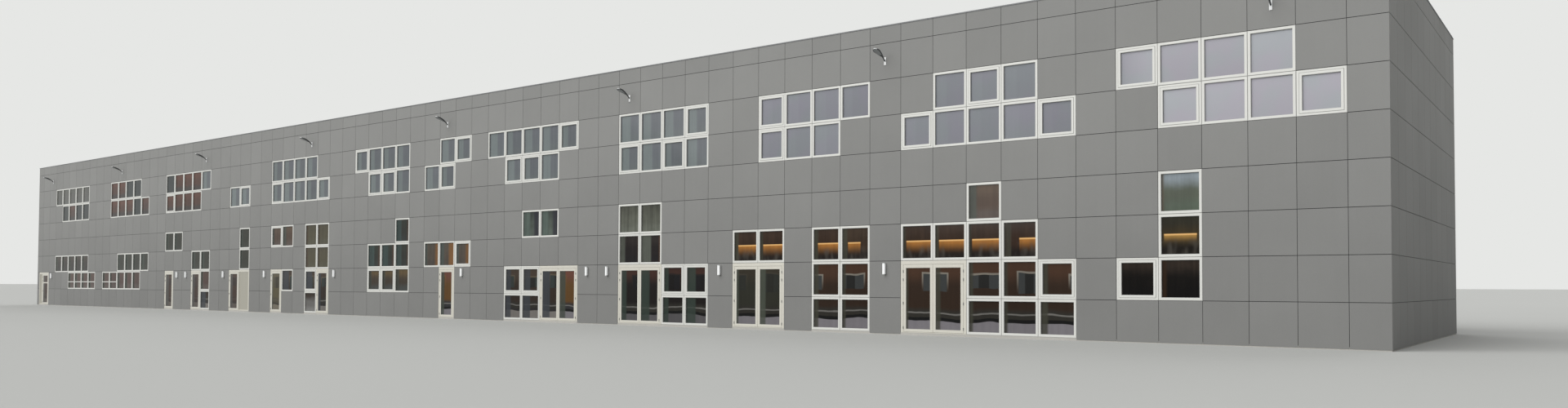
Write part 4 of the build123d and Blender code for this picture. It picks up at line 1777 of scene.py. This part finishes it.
@dataclass
class Floodlights:
    """Drop-shaped heads on short rising arms under the roof edge."""

    first_column: float = 2.5
    step: int = 10
    count: int = 8
    row: float = 7.5
    plate_width: float = 8.5 * MM
    plate_height: float = 27 * MM
    plate_depth: float = 2 * MM
    plate_bevel: float = 0.5 * MM
    arm: float = 4.5 * MM
    arm_reach: float = 20 * MM
    arm_rise: float = math.radians(42)
    arm_sides: int = 16
    collar: float = 1.2
    collar_length: float = 3.15 * MM
    length: float = 57 * MM
    width: float = 26 * MM
    head_rise: float = math.radians(21)
    shoulder: float = 0.68
    tip: float = 0.3 * MM
    back: float = 6 * MM
    back_place: float = 0.45
    fullness: float = 0.7
    rim: float = 3.5 * MM
    highlight_share: float = 0.72
    lens_ends: Range = (0.2, 0.96)
    lens_inset: float = 0.78
    lens_depth: float = 0.5 * MM
    sides: int = 9
    steps: int = 16

    def half_width(self, place: float) -> float:
        """Half the head's width at a share of its length.

        Args:
            place: Share of the length, from the arm.

        Returns:
            Half the width.
        """
        if place < self.shoulder:
            return self.arm / 2 + (self.width - self.arm) / 2 * place / self.shoulder
        bow = (place - self.shoulder) / (1 - self.shoulder)
        return max(self.width / 2 * math.sqrt(max(1 - bow ** 2, 0.0)), self.tip)

    def top(self, place: float) -> float:
        """Height of the head's back over its axis at a share of its length.

        Args:
            place: Share of the length, from the arm.

        Returns:
            The height.
        """
        side = self.back_place if place < self.back_place else 1 - self.back_place
        low = self.arm / 2 if place < self.back_place else 0.0
        return low + (self.back - low) * (1 - ((place - self.back_place) / side) ** 2)

    def head(self, shape: Shape, start: Vector, outward: Vector) -> None:
        """Add one head: an arched back over a flat underside that holds the lens.

        Args:
            shape: Piece to add it to.
            start: End of the arm.
            outward: Direction of the head's length.
        """
        across = Vector(FRONT.right)
        above = outward.cross(across)
        turns = [math.pi * (1 - side / self.sides) for side in range(self.sides + 1)]
        arches, lens = [], []
        for k in range(self.steps + 1):
            place = math.sin(k / self.steps * math.pi / 2)
            half = self.half_width(place)
            under = self.arm / 2 + (self.rim - self.arm / 2) * place
            height = self.top(place) + under
            middle = start + outward * (self.length * place) - above * under
            arches.append(shape.loop(
                middle + across * math.cos(turn) * half
                + above * max(math.sin(turn), 0.0) ** self.fullness * height for turn in turns))
            if self.lens_ends[0] < place < self.lens_ends[1]:
                side, drop = across * half * self.lens_inset, above * self.lens_depth
                lens.append(shape.loop((middle + side, middle - side, middle - side - drop,
                                        middle + side - drop)))
        # The back is painted shade and, from the brow to the nose, a painted highlight; the underside is
        # painted shade.
        for number, (here, there) in enumerate(zip(arches, arches[1:])):
            back = LAMP_BROW_PAINTED_HIGHLIGHT if number >= self.steps * self.highlight_share else LAMP_BODY_PAINTED_SHADE
            for k in range(self.sides):
                shape.face((here[k], here[k + 1], there[k + 1], there[k]), back)
            shape.face((here[-1], here[0], there[0], there[-1]), LAMP_BODY_PAINTED_SHADE)
        shape.face(arches[0], LAMP_BODY_PAINTED_SHADE)
        shape.face(arches[-1][::-1], LAMP_BROW_PAINTED_HIGHLIGHT)
        shape.stack(lens, LAMP_LENS)

    def build(self) -> None:
        """Make all of them as one piece."""
        shape = Shape()
        rising, outward = (Vector((0, -math.cos(rise), math.sin(rise)))
                           for rise in (self.arm_rise, self.head_rise))
        radius, neck = self.arm / 2, self.arm_reach - self.collar_length
        collar = radius * self.collar
        arm = [(radius, 0.0), (radius, neck), (collar, neck), (collar, self.arm_reach)]
        for k in range(self.count):
            x, z = GRID.joint_x(self.first_column + k * self.step), self.row * GRID.module
            plate = Area.around(x, z, self.plate_width, self.plate_height)
            shape.plate(FRONT, plate, 0.0, self.plate_depth, self.plate_bevel, LAMP_PLATE)
            shape.turned(FRONT.point(x, z, self.plate_depth), rising, arm, self.arm_sides, LAMP_BODY_PAINTED_SHADE)
            self.head(shape, FRONT.point(x, z, 0.0) + rising * self.arm_reach, outward)
        shape.build("roof_edge_lamps", "floodlights", replaces=["floodlights"])


@dataclass
class Structure:
    """Walls, floors and roof that stay as the frame has them, with their finishes."""

    finishes: dict[Finish, tuple[str, ...]] = field(default_factory=lambda: {
        CONCRETE: ("ground_floor_slab",),
        SLAB_CORE: ("first_floor_slab", "roof_slab"),
        FELT: ("roof_covering",),
        WALL_CORE: ("front_wall_piers", "front_wall_over_doors", "front_wall_upper", "back_wall",
                    "left_wall", "right_wall"),
    })

    def dress(self, nodes: dict[str, bpy.types.Object]) -> None:
        """Give each node of the frame its finish.

        Args:
            nodes: Objects of the frame by name.
        """
        for finish, names in self.finishes.items():
            for name in names:
                slots = nodes[name].material_slots
                for slot in slots:
                    slot.material = finish.material()
                if not slots:
                    nodes[name].data.materials.append(finish.material())
                LOG.info("%s: %s", name, finish.name)


@dataclass(frozen=True)
class StageFloor(Finish):
    """Plain pale floor."""

    colour: Colour = (192, 193, 190)
    clouds: Pattern = Pattern(0.5)
    cloud_share: float = 0.04
    roughness: float = 0.9
    specular: float = 0.1

    def draw(self, nodes: Nodes) -> None:
        """Fill the node tree of the finish.

        Args:
            nodes: Node tree of the finish.
        """
        tone = 1 + nodes.noise(self.clouds).sway(self.cloud_share)
        nodes.surface(Base_Color=nodes.scaled(self.colour, tone), Roughness=self.roughness,
                      Specular_IOR_Level=self.specular)


@dataclass
class Studio:
    """Pale floor, soft light and the camera at the photograph's angle."""

    floor_reach: float = 800.0
    background: Colour = (230, 231, 229)
    ambient: Colour = (255, 255, 255)
    ambient_strength: float = 0.30
    key_energy: float = 2.6
    key_spread: float = math.radians(65)
    key_direction: Point = (0.5, 1.0, -0.8)
    fill_energy: float = 1.0
    fill_spread: float = math.radians(80)
    fill_direction: Point = (0.35, -1.0, -0.6)
    place: Point = (5.1242, -3.8140, 0.1617)
    yaw: float = -0.6482
    pitch: float = 0.0255
    roll: float = 0.0035
    lens: float = 24.827
    shift_x: float = -0.0096
    shift_y: float = 0.0351
    nearest: float = 0.05
    furthest: float = 3200.0

    def floor(self) -> None:
        """Lay the floor."""
        reach = self.floor_reach
        mesh = bpy.data.meshes.new("floor")
        square = Area(-reach, reach, -reach, reach).corners()
        mesh.from_pydata([(x, y, 0) for x, y in square], [], [(0, 1, 2, 3)])
        mesh.materials.append(StageFloor("stage_floor").material())
        floor = bpy.data.objects.new("floor", mesh)
        bpy.context.scene.collection.objects.link(floor)

    def world(self) -> None:
        """Set the soft light from all round, and the pale background that is seen and mirrored."""
        world = bpy.data.worlds.new("studio")
        world.use_nodes = True
        bpy.context.scene.world = world
        nodes = Nodes(world.node_tree)
        path = nodes.add("ShaderNodeLightPath")
        camera, glossy, clear = (Value(nodes, path.outputs[f"Is {kind} Ray"])
                                 for kind in ("Camera", "Glossy", "Transmission"))
        light = nodes.add("ShaderNodeBackground",
                          values={0: linear(self.ambient), 1: self.ambient_strength})
        back = nodes.add("ShaderNodeBackground", values={0: linear(self.background)})
        mix = nodes.add("ShaderNodeMixShader", values={0: camera.most(glossy).most(clear),
                                                       1: light.outputs[0], 2: back.outputs[0]})
        nodes.add("ShaderNodeOutputWorld", values={0: mix.outputs[0]})

    def lamp(self, name: str, energy: float, spread: float, direction: Point) -> None:
        """Set one wide soft light.

        Args:
            name: Its name.
            energy: Its strength.
            spread: Angle over which it spreads.
            direction: Where its light goes.
        """
        light = bpy.data.lights.new(name, "SUN")
        light.energy = energy
        light.angle = spread
        lamp = bpy.data.objects.new(name, light)
        lamp.rotation_mode = "QUATERNION"
        lamp.rotation_quaternion = Vector(direction).to_track_quat("-Z", "Y")
        bpy.context.scene.collection.objects.link(lamp)

    def camera(self) -> None:
        """Set the camera."""
        level = math.cos(self.pitch)
        ahead = Vector((math.sin(self.yaw) * level, math.cos(self.yaw) * level, math.sin(self.pitch)))
        aside = Vector((math.cos(self.yaw), -math.sin(self.yaw), 0.0))
        above = aside.cross(ahead)
        right = aside * math.cos(self.roll) + above * math.sin(self.roll)
        up = above * math.cos(self.roll) - aside * math.sin(self.roll)
        turn = Matrix((right, up, -ahead)).transposed().to_4x4()
        data = bpy.data.cameras.new("camera")
        data.lens = self.lens
        data.shift_x, data.shift_y = self.shift_x, self.shift_y
        data.clip_start, data.clip_end = self.nearest, self.furthest
        camera = bpy.data.objects.new("camera", data)
        camera.matrix_world = Matrix.Translation(self.place) @ turn
        bpy.context.scene.collection.objects.link(camera)
        bpy.context.scene.camera = camera

    def build(self) -> None:
        """Set up the studio."""
        self.floor()
        self.world()
        self.lamp("key", self.key_energy, self.key_spread, self.key_direction)
        self.lamp("fill", self.fill_energy, self.fill_spread, self.fill_direction)
        self.camera()
        bpy.context.scene.view_settings.view_transform = "Standard"


def main() -> None:
    """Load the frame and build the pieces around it."""
    logging.basicConfig(level=logging.INFO, format="%(name)s %(message)s")
    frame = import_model()
    Structure().dress(frame["nodes"])
    Cladding().build()
    Windows().build()
    Doors(joints={joint["child"]: joint for joint in frame["joints"]}).build()
    Roof().build()
    WallLights().build()
    Floodlights().build()
    Studio().build()


if __name__ == "__main__":
    main()
